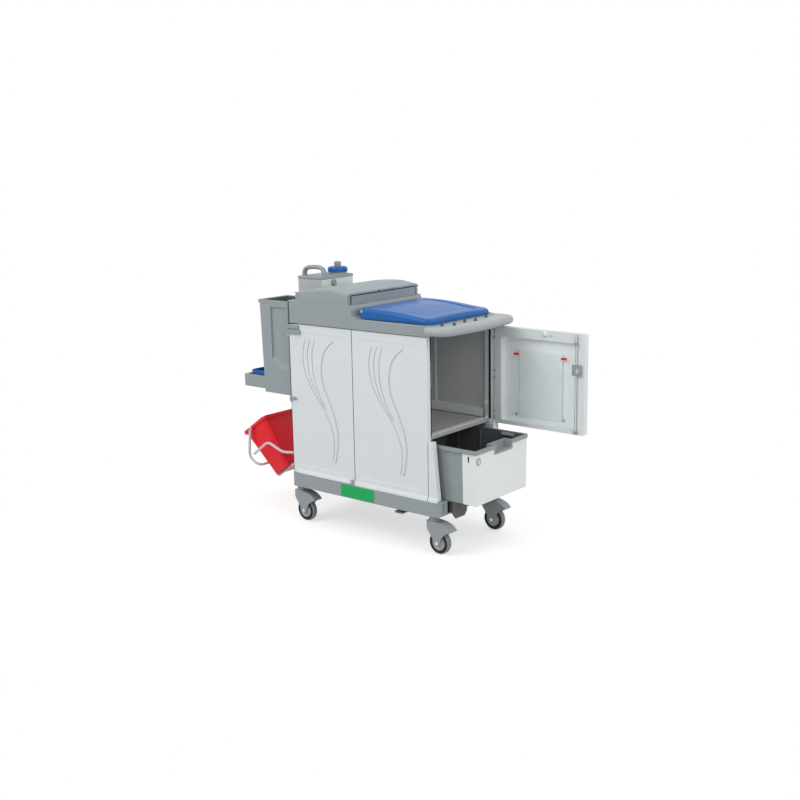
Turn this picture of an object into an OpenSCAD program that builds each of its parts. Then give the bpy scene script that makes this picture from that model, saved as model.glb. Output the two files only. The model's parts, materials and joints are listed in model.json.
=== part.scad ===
// Janitor cart: closed cabinet on four swivel casters, with a swing-out end door, a slide-out drawer,
// two hinged lids, a push handle, and a bin, a water tank and a tilted bucket hung on the far end.
// Units are millimetres. +Z is up, +X is the handle, door and drawer end, the origin is on the floor.

/* [Base tray] */
// Length of the base tray
base_l = 832; // [790:1:880]
// Width of the base tray
base_w = 476; // [450:1:500]
// Height of the base tray
base_h = 62; // [54:1:72]
// Wall of the base tray
base_wall = 6; // [4:0.5:8]
// Thickness of the base floor plate
base_floor = 8; // [6:0.5:12]
// Plan radius of the base corners
base_corner = 30; // [20:1:36]

/* [Casters] */
// Wheel diameter
wheel_d = 100; // [90:1:110]
// Wheel width
wheel_w = 32; // [28:1:36]
// Radial thickness of the tyre
tyre_t = 14; // [10:1:18]
// Height from the top of the wheel to the base tray
caster_rise = 65; // [60:1:75]
// Horizontal distance from swivel axis to axle
caster_trail = 30; // [24:1:34]
// Swivel axis to the far end of the base
caster_back_inset = 25; // [24:1:40]
// Swivel axis to the handle end of the base
caster_front_inset = 51; // [45:1:60]
// Swivel axis to the long side of the base
caster_side_inset = 43; // [38:1:50]
// Kingpin diameter
stem_d = 12; // [10:1:14]
// Axle diameter
axle_d = 10; // [8:1:12]
// Height of the swivel head above the hood
neck_h = 25; // [20:1:28]
// Diameter of the swivel head
neck_d = 42; // [36:1:46]
// Sheet thickness of the fork
fork_t = 3.5; // [2.5:0.5:4.5]
// Side gap between wheel and fork
fork_gap = 3; // [2.5:0.5:4]
// Length of the hood behind the axle
hood_tail = 70; // [62:1:76]

/* [Cabinet] */
// Height of the cabinet panels
panel_h = 673; // [640:1:720]
// Panel thickness
panel_t = 4; // [3:0.5:5]
// Setback of the panels from the sides of the base
panel_inset = 6.5; // [5:0.5:9]
// Setback of the end panel from the far end of the base
cabinet_back = 15; // [12:1:20]
// Setback of the door posts from the handle end of the base
cabinet_front = 52; // [46:1:58]
// Width of the hinged side door
side_door_w = 364; // [340:1:390]
// Gap round the hinged side door
door_gap = 1.5; // [1:0.25:2.5]
// Corner post size along the cart
post_l = 30; // [24:1:36]
// Corner post size across the cart
post_w = 18; // [14:1:22]
// Height of the drawer bay
bay_h = 247; // [244:1:256]
// Reach of the drawer bay past the posts at its top
bay_reach = 24; // [18:1:28]
// Further reach of the drawer bay at its foot
bay_flare = 22; // [14:1:24]
// Width of each drawer bay jamb
jamb_w = 26; // [20:1:29]
// Height of the upper shelf above the base
shelf_h = 263; // [258:1:275]
// Height of the inner shelf above the base
inner_shelf_h = 333; // [300:1:360]
// Shelf thickness
shelf_t = 6; // [5:0.5:8]
// Setback of the upper shelf from the front of the posts
shelf_setback = 15; // [10:1:20]

/* [Deck] */
// Gap between panels and deck
deck_gap = 3; // [2:0.5:5]
// Height of the low part of the deck
deck_low_h = 42; // [38:1:48]
// Height of the high part of the deck
deck_high_h = 97; // [90:1:104]
// Wall and plate thickness of the deck
deck_t = 5; // [4:0.5:6]
// Overhang of the deck past the posts
deck_over = 14; // [10:1:18]
// Plan radius of the deck corners
deck_corner = 22; // [16:1:28]
// Foot of the deck step, measured from the panel seam
step_foot = 29; // [22:1:36]
// Length of the deck step
step_l = 45; // [38:1:52]
// Width of the opening under the waste lid
hatch_w = 386; // [360:1:396]
// Margin between the hatch and the handle end of the deck
hatch_margin = 18; // [16:1:26]

/* [Push handle] */
// Diameter of the grip bar
grip_d = 35; // [30:1:38]
// Reach of the grip bar past the deck
grip_reach = 98; // [90:1:106]
// Bow radius of the grip bar
grip_bow = 1195; // [1000:5:1500]
// Bend radius of the grip bar corners
grip_bend = 45; // [38:1:52]
// Overhang of the grip bar axis past the side of the deck
grip_side = 2; // [0:0.5:6]
// Thickness of the handle web
web_t = 8; // [6:0.5:10]
// Diameter of the holder holes in the web
holder_d = 16; // [12:1:20]

/* [Waste lid] */
// Hinge pin diameter of both lids
lid_pin_d = 8; // [6:0.5:9]
// Height of the waste lid pin above the deck
waste_pin_h = 33; // [31:0.5:36]
// Distance of the waste lid pin from the foot of the step
waste_pin_x = 17; // [15:1:20]
// Width of the waste lid
waste_w = 432; // [424:1:440]
// Setback of the waste lid from the handle end of the deck
waste_setback = 10; // [6:1:14]
// Height of the waste lid edge at the handle end
waste_nose_h = 20; // [16:1:24]
// Rise of the waste lid crown over its pin
waste_crown = 17; // [15:1:20]
// Wall of the lids
lid_t = 3; // [2.5:0.5:4]

/* [Top box] */
// Setback of the top box from the far end of the deck
box_setback = 49; // [44:1:56]
// Width of the top box walls
box_w = 428; // [410:1:436]
// Height of the top box wall at its front
box_h = 37; // [34:1:40]
// Height of the other top box walls
box_side_h = 31; // [27:1:32]
// Wall of the top box
box_t = 3; // [2.5:0.5:4]
// Width over the skirts of the box lid
box_lid_w = 468; // [460:1:474]
// Height of the box lid at its hinge end
box_lid_back_h = 36; // [36:1:40]
// Height of the box lid at its crown
box_lid_crown_h = 60; // [56:1:70]
// Height of the box lid at its front
box_lid_front_h = 48; // [46:1:54]
// Height of the box lid pin above the deck
box_pin_h = 19; // [18:0.5:21]
// Distance of the box lid pin from the far end of the box
box_pin_x = 14; // [12:1:16]

/* [End door] */
// Width of the end door
door_w = 437; // [425:1:445]
// Thickness of the end door
door_t = 28; // [24:1:32]
// Gap between drawer bay and end door
door_foot_gap = 2.5; // [2:0.5:5]
// Gap between end door and deck
door_head_gap = 8; // [6:0.5:14]
// Distance of the hinge axis from the posts
hinge_off = 18; // [17:0.5:22]
// Setback of the hinge axis from the outer face of the post
hinge_side = 5; // [2:0.5:8]
// Distance from hinge axis to the hinge edge of the door
hinge_edge = 5; // [5:0.5:7]
// Door hinge pin diameter
hinge_pin_d = 6; // [5:0.5:7]
// Frame width of the door at the hinge side
frame_hinge = 32; // [26:1:40]
// Frame width of the door at the lock side
frame_lock = 44; // [42:1:52]
// Frame width of the door at the top
frame_top = 42; // [36:1:48]
// Frame width of the door at the foot
frame_foot = 16; // [12:1:22]
// Skin thickness of the end door
door_skin = 6; // [4:0.5:8]
// Width of the document pocket
pocket_w = 217; // [200:1:240]
// Height of the document pocket
pocket_h = 283; // [260:1:300]
// Depth of the document pocket
pocket_d = 9; // [8:0.5:11]
// Lock rod diameter
rod_d = 8; // [6:0.5:9]
// Travel of the lock rods
rod_travel = 12; // [10:0.5:13]

/* [Drawer] */
// Drawer length
drawer_l = 420; // [400:1:440]
// Drawer width
drawer_w = 368; // [350:1:372]
// Drawer height
drawer_h = 228; // [220:1:232]
// Height of the drawer rim
rim_h = 15; // [12:1:18]
// Overhang of the drawer rim
rim_over = 6; // [4:0.5:8]
// Wall of the drawer
drawer_t = 3.5; // [3:0.5:5]
// Taper of each drawer side over its height
drawer_taper = 5; // [2:0.5:8]
// Distance that the drawer is pulled out at rest
drawer_out = 150; // [120:1:180]
// Length of the white front cover along the drawer side
cover_wrap = 66; // [50:1:80]
// Thickness of the front cover
cover_t = 3; // [2.5:0.5:4]
// Width of the hand recess in the drawer rim
hand_w = 130; // [110:1:150]
// Height of the hand recess
hand_h = 38; // [30:1:44]
// Reach of the hand recess into the drawer
hand_in = 32; // [24:1:44]
// Drawer lock diameter
drawer_lock_d = 22; // [18:1:26]
// Reach of the drawer runners past the base
runner_reach = 20; // [14:1:40]
// Width of each drawer runner
runner_w = 98; // [80:1:110]
// Distance of each drawer runner from the middle of the cart
runner_in = 64; // [50:1:70]

/* [Tall bin] */
// Length of the tall bin along the cart
bin_l = 178; // [165:1:190]
// Width of the tall bin
bin_w = 170; // [150:1:180]
// Height of the tall bin
bin_h = 419; // [400:1:440]
// Height of the bin floor above the base
bin_rise = 343; // [330:1:360]
// Wall of the tall bin
bin_t = 4; // [3:0.5:5]
// Taper of the far bin wall
bin_taper = 14; // [8:1:20]
// Length of the bin foot
foot_l = 119; // [105:1:130]
// Height of the bin foot
foot_h = 56; // [48:1:64]
// Gap between end panel and bin
bin_gap = 20; // [18:1:26]
// Gap between the middle of the cart and the bin
bin_side = 35; // [28:1:42]

/* [Water tank] */
// Length of the tank along the cart
tank_l = 160; // [145:1:172]
// Width of the tank
tank_w = 234; // [215:1:236]
// Height of the tank body
tank_h = 320; // [300:1:336]
// Gap between the middle of the cart and the tank
tank_side = 2; // [1:0.5:5]
// Height of the tank floor above the base
tank_rise = 518; // [500:1:530]
// Plan radius of the tank corners
tank_corner = 30; // [24:1:36]
// Height of the tank cover
tank_top_h = 12; // [8:0.5:16]
// Diameter of the tank cap
cap_d = 90; // [80:1:100]
// Height of the carrying loop
loop_h = 50; // [46:1:62]
// Thickness of the carrying loop
loop_d = 24; // [18:1:24]
// Travel of the tank button
button_travel = 4; // [2:0.5:5]

/* [Bucket] */
// Length of the bucket mouth along the cart
mouth_l = 183; // [170:1:190]
// Width of the bucket mouth
mouth_w = 300; // [280:1:306]
// Length of the bucket floor
floor_l = 105; // [95:1:120]
// Width of the bucket floor
floor_w = 230; // [215:1:245]
// Depth of the bucket
bucket_h = 253; // [235:1:265]
// Wall of the bucket
bucket_t = 3.5; // [3:0.5:5]
// Height of the bucket rim
bucket_rim_h = 14; // [10:1:18]
// Overhang of the bucket rim
bucket_rim = 7; // [5:0.5:8]
// Lean of the bucket away from the cart
bucket_tilt = 35; // [30:1:40]
// Distance of the bucket rim centre from the end panel
bucket_x = 348; // [340:1:360]
// Height of the bucket rim centre above the base
bucket_rise = 154; // [145:1:165]
// Wire diameter of cradle and bail
wire_d = 10; // [8:0.5:11]
// Half spread of the cradle arms
cradle_half = 173; // [171:1:180]
// Half spread of the arms under the bucket
cradle_low = 90; // [80:1:100]
// Height of the cradle arms above the base
cradle_rise = 73; // [65:1:80]
// Upturn of the arms under the bucket
cradle_toe = 45; // [35:1:55]

/* [Small parts] */
// Width of the label plate
label_w = 188; // [160:1:210]
// Height of the label plate
label_h = 53; // [40:1:56]
// Label and clip thickness
plate_t = 2; // [1.5:0.5:3]

/* [Hidden] */
$fn = 64;
// Clearance between pieces that pass or face each other
run_gap = 0.3;
// Radial clearance of a pin in its bore
pin_gap = 0.05;
// Overlap of a cutting shape past the face that it opens
cut = 1;

GREY = [0.58, 0.62, 0.64];
DARK = [0.30, 0.31, 0.32];
BLACK = [0.09, 0.09, 0.10];
WHITE = [0.85, 0.87, 0.88];
STEEL = [0.72, 0.73, 0.75];
BLUE = [0.08, 0.32, 0.70];
RED = [0.80, 0.09, 0.13];
GREEN = [0.06, 0.60, 0.22];
CLEAR = [0.88, 0.91, 0.92];

// Heights and faces of the cabinet
base_z = wheel_d + caster_rise;
base_top = base_z + base_h;
base_x = base_l / 2;
half_w = base_w / 2;
x_back = -base_x + cabinet_back;
x_front = base_x - cabinet_front;
panel_y = half_w - panel_inset;
inner_y = panel_y - panel_t - run_gap;
post_y = inner_y - post_w;
post_x = x_back + max(panel_t, deck_t);
panel_top = base_top + panel_h;
side_door_x = x_back + door_gap;
side_door_end = side_door_x + side_door_w;
seam_x = side_door_end + door_gap;
partition_x = seam_x - door_gap / 2;
bay_top = base_top + bay_h;
bay_x = x_front + bay_reach;
bay_foot_x = bay_x + bay_flare;
bay_foot_h = 20;
panel_foot_h = 22;
panel_round = 14;
shelf_top = base_top + shelf_h;
shelf_x = x_front - shelf_setback;
inner_shelf_top = base_top + inner_shelf_h;

// Side door: hinge line just outside its corner, height and length of each hinge, latch place
side_pin_x = x_back - 1;
side_pin_y = -panel_y - 3.5;
side_pin_r = 2.5;
SIDE_HINGES = [[base_top + 330, 18], [panel_top - 47, 47]];
clip_short = 40;
clip_long = 66;
latch_in = 12;
latch_z = base_top + 14;

// Deck
deck_z = panel_top + deck_gap;
deck_low = deck_z + deck_low_h;
deck_high = deck_z + deck_high_h;
deck_x0 = x_back;
deck_x1 = x_front + deck_over;
step_x = seam_x + step_foot;
step_top_x = step_x - step_l;
hatch_x0 = step_x + waste_pin_x + 14;
hatch_x1 = deck_x1 - hatch_margin;

// Casters, in order round the cart
caster_y = half_w - caster_side_inset;
caster_x0 = -base_x + caster_back_inset;
caster_x1 = base_x - caster_front_inset;
CASTERS = [[caster_x0, -caster_y], [caster_x1, -caster_y], [caster_x1, caster_y], [caster_x0, caster_y]];
wheel_r = wheel_d / 2;
fork_in = wheel_w / 2 + fork_gap;
fork_out = fork_in + fork_t;
hood_top = base_z - neck_h;
hood_t = 4;
stem_head_r = stem_d / 2 + 4;
stem_head_h = 6;
boss_r = stem_d / 2 + 12;

// Push handle, a bowed bar with bent ends
grip_z = deck_low - grip_d / 2 - 1;
bow_x = deck_x1 + grip_reach - grip_bow;
grip_end_y = half_w + grip_side;
bow_angle = asin((grip_end_y - grip_bend) / (grip_bow - grip_bend));
bend_x = bow_x + (grip_bow - grip_bend) * cos(bow_angle);
bend_y = (grip_bow - grip_bend) * sin(bow_angle);

// Waste lid
waste_px = step_x + waste_pin_x;
waste_pz = deck_low + waste_pin_h;
waste_x0 = waste_px - 14;
waste_x1 = deck_x1 - waste_setback;
waste_z = deck_low + 3;
ear_t = 8;
ear_r = lid_pin_d / 2 + 4;
ear_y = waste_w / 2 - lid_t - run_gap - ear_t;

// Top box and its lid
box_x0 = deck_x0 + box_setback;
box_x1 = step_top_x + 5;
box_px = box_x0 + box_pin_x;
box_pz = deck_high + box_pin_h;
box_lid_z = deck_high + 1;
lid_rise = 140;
lid_fall = 150;

// End door, drawn standing open along +X
hinge_x = x_front + hinge_off;
hinge_y = inner_y - hinge_side;
door_x0 = hinge_x + hinge_edge;
door_x1 = door_x0 + door_w;
door_y0 = hinge_y - door_t / 2;
door_y1 = hinge_y + door_t / 2;
door_z0 = bay_top + door_foot_gap;
door_z1 = deck_z - door_head_gap;
skin_y = door_y1 - door_skin;
HINGE_Z = [door_z0 + 34, (door_z0 + door_z1) / 2, door_z1 - 34];
knuckle_h = 24;
lug_h = 8;
knuckle_r = hinge_pin_d / 2 + 1.5;
pocket_x0 = door_x0 + 109;
pocket_x1 = pocket_x0 + pocket_w;
pocket_z0 = door_z0 + 41;
pocket_z1 = pocket_z0 + pocket_h;
pocket_y = skin_y - pocket_d;
clip_z = pocket_z1 - 17;
CLIP_X = [pocket_x0 - 7, pocket_x1 + 7];
rest_z = pocket_z0 + 8;
rod_x = door_x1 - 36;
case_w = 40;
case_h = 44;
case_t = rod_d + 4;
case_z = door_z0 + 269;
rod_y = door_y0 - case_t / 2;
guide_h = 12;
rod_catch = 2;
rod_foot = 7.5;
knob_x = rod_x + 13;
knob_r = 5;

// Drawer
drawer_x1 = base_x + drawer_out;
drawer_x0 = drawer_x1 - drawer_l;
drawer_z = base_top + run_gap;
drawer_top = drawer_z + drawer_h;
drawer_y = drawer_w / 2;
hand_y0 = -drawer_y + 129;
lock_y = -drawer_y + 20;
lock_z = drawer_top - rim_h - 31;
lock_r = drawer_lock_d / 2 - 3;
hand_z = drawer_top - hand_h + 6;

// Far end: bin, tank and bucket
bin_x1 = x_back - bin_gap;
bin_x0 = bin_x1 - bin_l;
bin_y1 = -bin_side;
bin_y0 = bin_y1 - bin_w;
bin_z = base_top + bin_rise;
bin_top = bin_z + bin_h;
foot_x0 = bin_x0 - foot_l;
foot_z = bin_z + 14;
foot_top = foot_z + foot_h;
tray_z = foot_top - 30;
tray_in = 24;
rail_t = 5;
rail_x = x_back - 11;
rail_z1 = bin_top - 60;
rail_z0 = rail_z1 - 44;
hook_t = 5;
tank_x1 = x_back - 19;
tank_x0 = tank_x1 - tank_l;
tank_y0 = tank_side;
tank_y1 = tank_y0 + tank_w;
tank_z = base_top + tank_rise;
tank_top_z = tank_z + tank_h;
tank_cover_z = tank_top_z + tank_top_h;
tank_shelf_t = 7;
cap_x = tank_x1 - 46;
cap_y = tank_y0 + 163;
cap_h = 25;
cap_rise = 10;
spout_r = cap_d / 2 - 8;
loop_y = tank_y0 + 42;
LOOP_X = [tank_x0 + 24, tank_x1 - 20];
button_y = tank_y0 + 84;
button_z = tank_top_z - 20;
button_r = 12;

// Bucket: its own frame has the rim centre as origin and leans by bucket_tilt
bucket_o = [x_back - bucket_x, 0, base_top + bucket_rise];
bail_local = [-21, 0, -bucket_rim_h / 2 - 4];
wire_r = wire_d / 2;
bail_y = mouth_w / 2 + 1 + wire_r;
stud_r = 4;
eye_r = stud_r + 4;
knee_in = 88.7;
knee_up = 149;
bar_in = 56.5;
bar_up = 85;
bail_knee = lean([-knee_in, knee_up - bucket_h]);
bail_drop = lean([-bar_in, bar_up - bucket_h]);

// A block between two corners
module block(x, y, z) {
  translate([x[0], y[0], z[0]]) cube([x[1] - x[0], y[1] - y[0], z[1] - z[0]]);
}

// A flat rounded rectangle between two corners
module round_rect(x, y, r) {
  translate([x[0] + r, y[0]]) square([x[1] - x[0] - 2 * r, y[1] - y[0]]);
  translate([x[0], y[0] + r]) square([x[1] - x[0], y[1] - y[0] - 2 * r]);
  for (cx = [x[0] + r, x[1] - r], cy = [y[0] + r, y[1] - r]) translate([cx, cy]) circle(r = r);
}

// A plate with rounded corners in plan
module round_plate(x, y, z, r) {
  translate([0, 0, z[0]]) linear_extrude(z[1] - z[0]) round_rect(x, y, r);
}

// A profile drawn in X and Z, pulled across the cart
module across(y) {
  translate([0, y[1], 0]) rotate([90, 0, 0]) linear_extrude(y[1] - y[0]) children();
}

// A profile drawn in Y and Z, pulled along the cart
module along(x) {
  translate([x[0], 0, 0]) rotate([90, 0, 90]) linear_extrude(x[1] - x[0]) children();
}

// Round bars along each axis
module bar_x(x, y, z, r) {
  translate([x[0], y, z]) rotate([0, 90, 0]) cylinder(r = r, h = x[1] - x[0]);
}

module bar_y(x, y, z, r) {
  translate([x, y[0], z]) rotate([-90, 0, 0]) cylinder(r = r, h = y[1] - y[0]);
}

module bar_z(x, y, z, r) {
  translate([x, y, z[0]]) cylinder(r = r, h = z[1] - z[0]);
}

// A bent strip through a list of points in X and Z, with round knees and ends that stand a little proud
module strip(points, r) {
  for (i = [0:len(points) - 2]) {
    d = points[i + 1] - points[i];
    translate(points[i]) rotate(atan2(d[1], d[0])) translate([0, -r]) square([norm(d), 2 * r]);
  }
  for (p = points) translate(p) circle(r = r + 0.1);
}

// Points of a curve that leaves a towards b and arrives at c
function curve(a, b, c, n) =
  [for (i = [0:n]) let (t = i / n) a * (1 - t) * (1 - t) + b * 2 * t * (1 - t) + c * t * t];

// A step in the bucket's own frame, as a step in X and Z of the cart
function lean(p) = [p[0] * cos(bucket_tilt) - p[1] * sin(bucket_tilt),
  p[0] * sin(bucket_tilt) + p[1] * cos(bucket_tilt)];

// Points of an arc
function arc(x, z, r, a0, a1, n) =
  [for (i = [0:n]) let (a = a0 + (a1 - a0) * i / n) [x + r * cos(a), z + r * sin(a)]];

// Two mirrored copies, one on each long side
module both_sides() {
  children();
  mirror([0, 1, 0]) children();
}

// Base tray: skirt, floor plate and four bored bosses for the kingpins
module base_tray() {
  color(GREY) difference() {
    union() {
      difference() {
        round_plate([-base_x, base_x], [-half_w, half_w], [base_z, base_top], base_corner);
        round_plate([-base_x + base_wall, base_x - base_wall], [-half_w + base_wall, half_w - base_wall],
          [base_z - cut, base_top - base_floor], base_corner - base_wall);
      }
      for (p = CASTERS) bar_z(p[0], p[1], [base_z, base_top - base_floor + cut], boss_r);
    }
    for (p = CASTERS) bar_z(p[0], p[1], [base_z - cut, base_top - base_floor], stem_d / 2 + pin_gap);
  }
}

// Four kingpins with the heads that carry the forks
module caster_stems() {
  head_top = hood_top - hood_t - run_gap;
  color(STEEL) for (p = CASTERS) {
    bar_z(p[0], p[1], [head_top - stem_head_h, base_top - base_floor - cut], stem_d / 2);
    bar_z(p[0], p[1], [head_top - stem_head_h, head_top], stem_head_r);
  }
}

// Side view of the caster hood, from the swivel axis towards its tail
function hood_outline() = let (
    x = caster_trail, tail = caster_trail + hood_tail, tail_z = wheel_d + 6) concat(
  [[-neck_d / 2 - 3, hood_top], [neck_d / 2, hood_top]],
  curve([neck_d / 2 + 1, hood_top], [tail - 18, hood_top - 4], [tail, tail_z], 8),
  [[tail - 28, tail_z - 10]],
  curve([x + 46, wheel_r + 46], [x + 20, wheel_r + 34], [x + 13, wheel_r], 6),
  arc(x, wheel_r, 13, -10, -170, 8),
  [[-neck_d / 2 - 3, hood_top - 34]]);

// Swivel fork: hood over the wheel, two cheeks down to the axle, bored head
module caster_fork(i) {
  p = CASTERS[i];
  color(GREY) translate([p[0], p[1], 0]) difference() {
    union() {
      difference() {
        across([-fork_out, fork_out]) polygon(hood_outline());
        across([-fork_in, fork_in]) translate([0, -hood_t]) polygon(concat(
          [[hood_t - neck_d / 2 - 3, hood_top], [neck_d / 2, hood_top]],
          curve([neck_d / 2 + 1, hood_top], [caster_trail + hood_tail - 18, hood_top - 4],
            [caster_trail + hood_tail, wheel_d + 6], 8),
          [[caster_trail + hood_tail, 0], [hood_t - neck_d / 2 - 3, 0]]));
      }
      bar_z(0, 0, [hood_top - hood_t, base_z - run_gap], neck_d / 2);
    }
    bar_z(0, 0, [hood_top - hood_t - cut, base_z], stem_d / 2 + pin_gap);
    bar_y(caster_trail, [-fork_out - cut, fork_out + cut], wheel_r, axle_d / 2 + pin_gap);
  }
}

// Caster wheel: tread bonded to a webbed hub with a running bore
module wheel(i) {
  p = CASTERS[i];
  half = wheel_w / 2;
  tread = wheel_r - tyre_t;
  color(BLACK) translate([p[0] + caster_trail, p[1], wheel_r]) rotate([90, 0, 0]) difference() {
    union() {
      rotate_extrude() difference() {
        round_rect([tread - 8, wheel_r], [-half, half], 6);
        translate([0, -half - cut]) square([tread, wheel_w + 2 * cut]);
      }
      cylinder(r = tread + 0.5, h = wheel_w - 8, center = true);
      cylinder(r = axle_d / 2 + 8, h = 2 * (fork_in - run_gap), center = true);
    }
    cylinder(r = axle_d / 2 + pin_gap, h = 2 * fork_in + cut, center = true);
  }
}

// Axle bolt with a head on each cheek of the fork
module wheel_axle(i) {
  p = CASTERS[i];
  head_r = axle_d / 2 + 3;
  color(STEEL) {
    bar_y(p[0] + caster_trail, [p[1] - fork_out - 1, p[1] + fork_out + 1], wheel_r, axle_d / 2);
    for (y = [p[1] - fork_out - 5, p[1] + fork_out])
      bar_y(p[0] + caster_trail, [y, y + 5], wheel_r, head_r);
  }
}

// Two drawer runners that reach past the base, each ending in a chamfered stop plate
module drawer_runners() {
  y0 = runner_in;
  y1 = runner_in + runner_w;
  top = base_top - 5;
  color(DARK) both_sides() {
    block([base_x, base_x + runner_reach], [-y1, -y0], [top - 8, top]);
    along([base_x + runner_reach - 8, base_x + runner_reach]) polygon([[-y1, top], [-y1, base_z + 6],
      [-y1 + 22, base_z - 22], [-y0 - 16, base_z - 22], [-y0, base_z - 4], [-y0, top]]);
  }
}

// Bare label plate on the side of the base
module label_plate() {
  mid_x = (side_door_x + x_front) / 2;
  mid_z = (base_z + base_top) / 2;
  color(GREEN) across([-half_w - plate_t, -half_w])
    round_rect([mid_x - label_w / 2, mid_x + label_w / 2], [mid_z - label_h / 2, mid_z + label_h / 2], 4);
}

// Four upright corner posts between base and deck
module corner_posts() {
  color(WHITE) both_sides() {
    block([post_x, post_x + post_l], [post_y, inner_y], [base_top, deck_high - deck_t]);
    block([x_front - post_l, x_front], [post_y, inner_y], [base_top, deck_low - deck_t]);
  }
}

// Side panel outline in X and Z, with the stepped edge beside the drawer bay
module side_outline(x0) {
  polygon([[x0, base_top], [bay_foot_x, base_top], [bay_foot_x, base_top + bay_foot_h], [bay_x, bay_top],
    [x_front, bay_top], [x_front, panel_top], [x0, panel_top]]);
}

// Foot of a side panel, flared out to the side of the base
module panel_flare(x, z) {
  along(x) polygon([[-panel_y, z], [-half_w, z], [-half_w, z + 4], [-panel_y, base_top + panel_foot_h]]);
}

// Fixed panel on the near side, next to the drawer
module front_panel() {
  color(WHITE) {
    across([-panel_y, -panel_y + panel_t]) side_outline(seam_x);
    panel_flare([seam_x, bay_foot_x], base_top);
  }
}

// Fixed panel along the whole back
module back_panel() {
  color(WHITE) mirror([0, 1, 0]) {
    across([-panel_y, -panel_y + panel_t]) side_outline(side_door_x);
    panel_flare([side_door_x, bay_foot_x], base_top);
  }
}

// Upright panel at the far end
module end_panel() {
  color(WHITE) block([x_back, x_back + panel_t], [-inner_y, inner_y], [base_top, deck_z]);
}

// Upright wall between the two compartments
module partition() {
  color(DARK) block([partition_x - panel_t / 2, partition_x + panel_t / 2], [-inner_y, inner_y],
    [base_top, panel_top]);
}

// Shelf over the drawer, notched round the posts
module upper_shelf() {
  x0 = partition_x + panel_t / 2;
  z = [shelf_top - shelf_t, shelf_top];
  color(DARK) {
    block([x0, x_front - post_l - run_gap], [-inner_y, inner_y], z);
    block([x0, shelf_x], [-post_y + run_gap, post_y - run_gap], z);
    block([shelf_x - 4, shelf_x], [-post_y + run_gap, post_y - run_gap], [shelf_top - 16, shelf_top]);
  }
}

// Shelf behind the hinged side door, notched round the posts
module inner_shelf() {
  x1 = partition_x - panel_t / 2;
  z = [inner_shelf_top - shelf_t, inner_shelf_top];
  color(DARK) {
    block([post_x + post_l + run_gap, x1], [-inner_y, inner_y], z);
    block([x_back + panel_t, x1], [-post_y + run_gap, post_y - run_gap], z);
  }
}

// Upright jambs each side of the drawer bay
module bay_jambs() {
  color(WHITE) both_sides() across([-inner_y, -inner_y + jamb_w])
    polygon([[x_front, base_top], [bay_foot_x - 4, base_top], [bay_foot_x - 4, base_top + bay_foot_h],
      [bay_x - 4, bay_top], [x_front, bay_top]]);
}

// Two fixed hinge pins for the side door, each on a lug bent round the end panel
module side_door_pins() {
  color(STEEL) for (h = SIDE_HINGES) {
    z = [h[0] - 8, h[0] - run_gap];
    bar_z(side_pin_x, side_pin_y, [z[0], h[0] + h[1] - 1], side_pin_r);
    block([x_back - 6, x_back], [side_pin_y, -inner_y + 25], z);
    bar_z(side_pin_x, side_pin_y, z, side_pin_r + 1.2);
  }
}

// Hinged panel over the far compartment
module side_door() {
  z = [base_top + door_gap, panel_top];
  color(WHITE) difference() {
    union() {
      across([-panel_y, -panel_y + panel_t])
        round_rect([side_door_x, side_door_end], z, panel_round);
      panel_flare([side_door_x + panel_round, side_door_end - 2 * latch_in], z[0]);
    }
    bar_y(side_door_end - latch_in, [-panel_y - cut, -panel_y + panel_t + cut], latch_z, 6 + pin_gap);
  }
}

// Hinge clips riveted on the side door, each with a bored barrel
module side_door_clips() {
  lengths = [clip_short, clip_long];
  color(GREY) for (i = [0, 1]) {
    h = SIDE_HINGES[i];
    z = [h[0], h[0] + h[1]];
    difference() {
      union() {
        block([side_pin_x, side_pin_x + lengths[i]], [-panel_y - 4, -panel_y], z);
        bar_z(side_pin_x, side_pin_y, z, side_pin_r + 1.6);
      }
      bar_z(side_pin_x, side_pin_y, [z[0] - cut, z[1] + cut], side_pin_r + pin_gap);
    }
  }
}

// Turn latch at the foot of the side door: slotted head, spindle and inner washer
module side_door_latch() {
  x = side_door_end - latch_in;
  face = -panel_y - run_gap;
  inside = -panel_y + panel_t + run_gap;
  color(GREY) difference() {
    union() {
      bar_y(x, [face - 4, face], latch_z, 9);
      bar_y(x, [face - cut, inside + cut], latch_z, 6);
      bar_y(x, [inside, inside + 3], latch_z, 9);
    }
    block([x - 1.5, x + 1.5], [face - 5, face - 1], [latch_z - 6, latch_z + 6]);
  }
}

// Side view of the deck: a high shelf, a rounded step and a low shelf, with an inset for its hollow
function deck_outline(t) = let (
    z = t > 0 ? deck_z - cut : deck_z, rise_x = step_x - step_l / 2 - t,
    rise_z = (deck_low + deck_high) / 2 - t) concat(
  [[deck_x0 + t, z], [deck_x1 - t, z], [deck_x1 - t, deck_low - t]],
  curve([step_x - t / 2, deck_low - t], [rise_x, deck_low - t], [rise_x, rise_z], 6),
  curve([rise_x, rise_z + 1], [rise_x, deck_high - t], [step_top_x - t / 2, deck_high - t], 6),
  [[deck_x0 + t, deck_high - t]]);

// Deck: hollow cover over the cabinet with the hatch and the ears of the waste lid
module deck() {
  color(GREY) difference() {
    union() {
      intersection() {
        difference() {
          across([-half_w, half_w]) polygon(deck_outline(0));
          across([-half_w + deck_t, half_w - deck_t]) polygon(deck_outline(deck_t));
        }
        round_plate([deck_x0, deck_x1], [-half_w, half_w], [deck_z - cut, deck_high + cut], deck_corner);
      }
      both_sides() across([-ear_y - ear_t, -ear_y]) {
        translate([waste_px, waste_pz]) circle(r = ear_r);
        translate([waste_px - ear_r, deck_low - 1]) square([2 * ear_r, waste_pin_h + 1]);
      }
    }
    block([hatch_x0, hatch_x1], [-hatch_w / 2, hatch_w / 2], [deck_low - 2 * deck_t, deck_low + cut]);
    bar_y(waste_px, [-half_w, half_w], waste_pz, lid_pin_d / 2 + pin_gap);
  }
}

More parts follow.
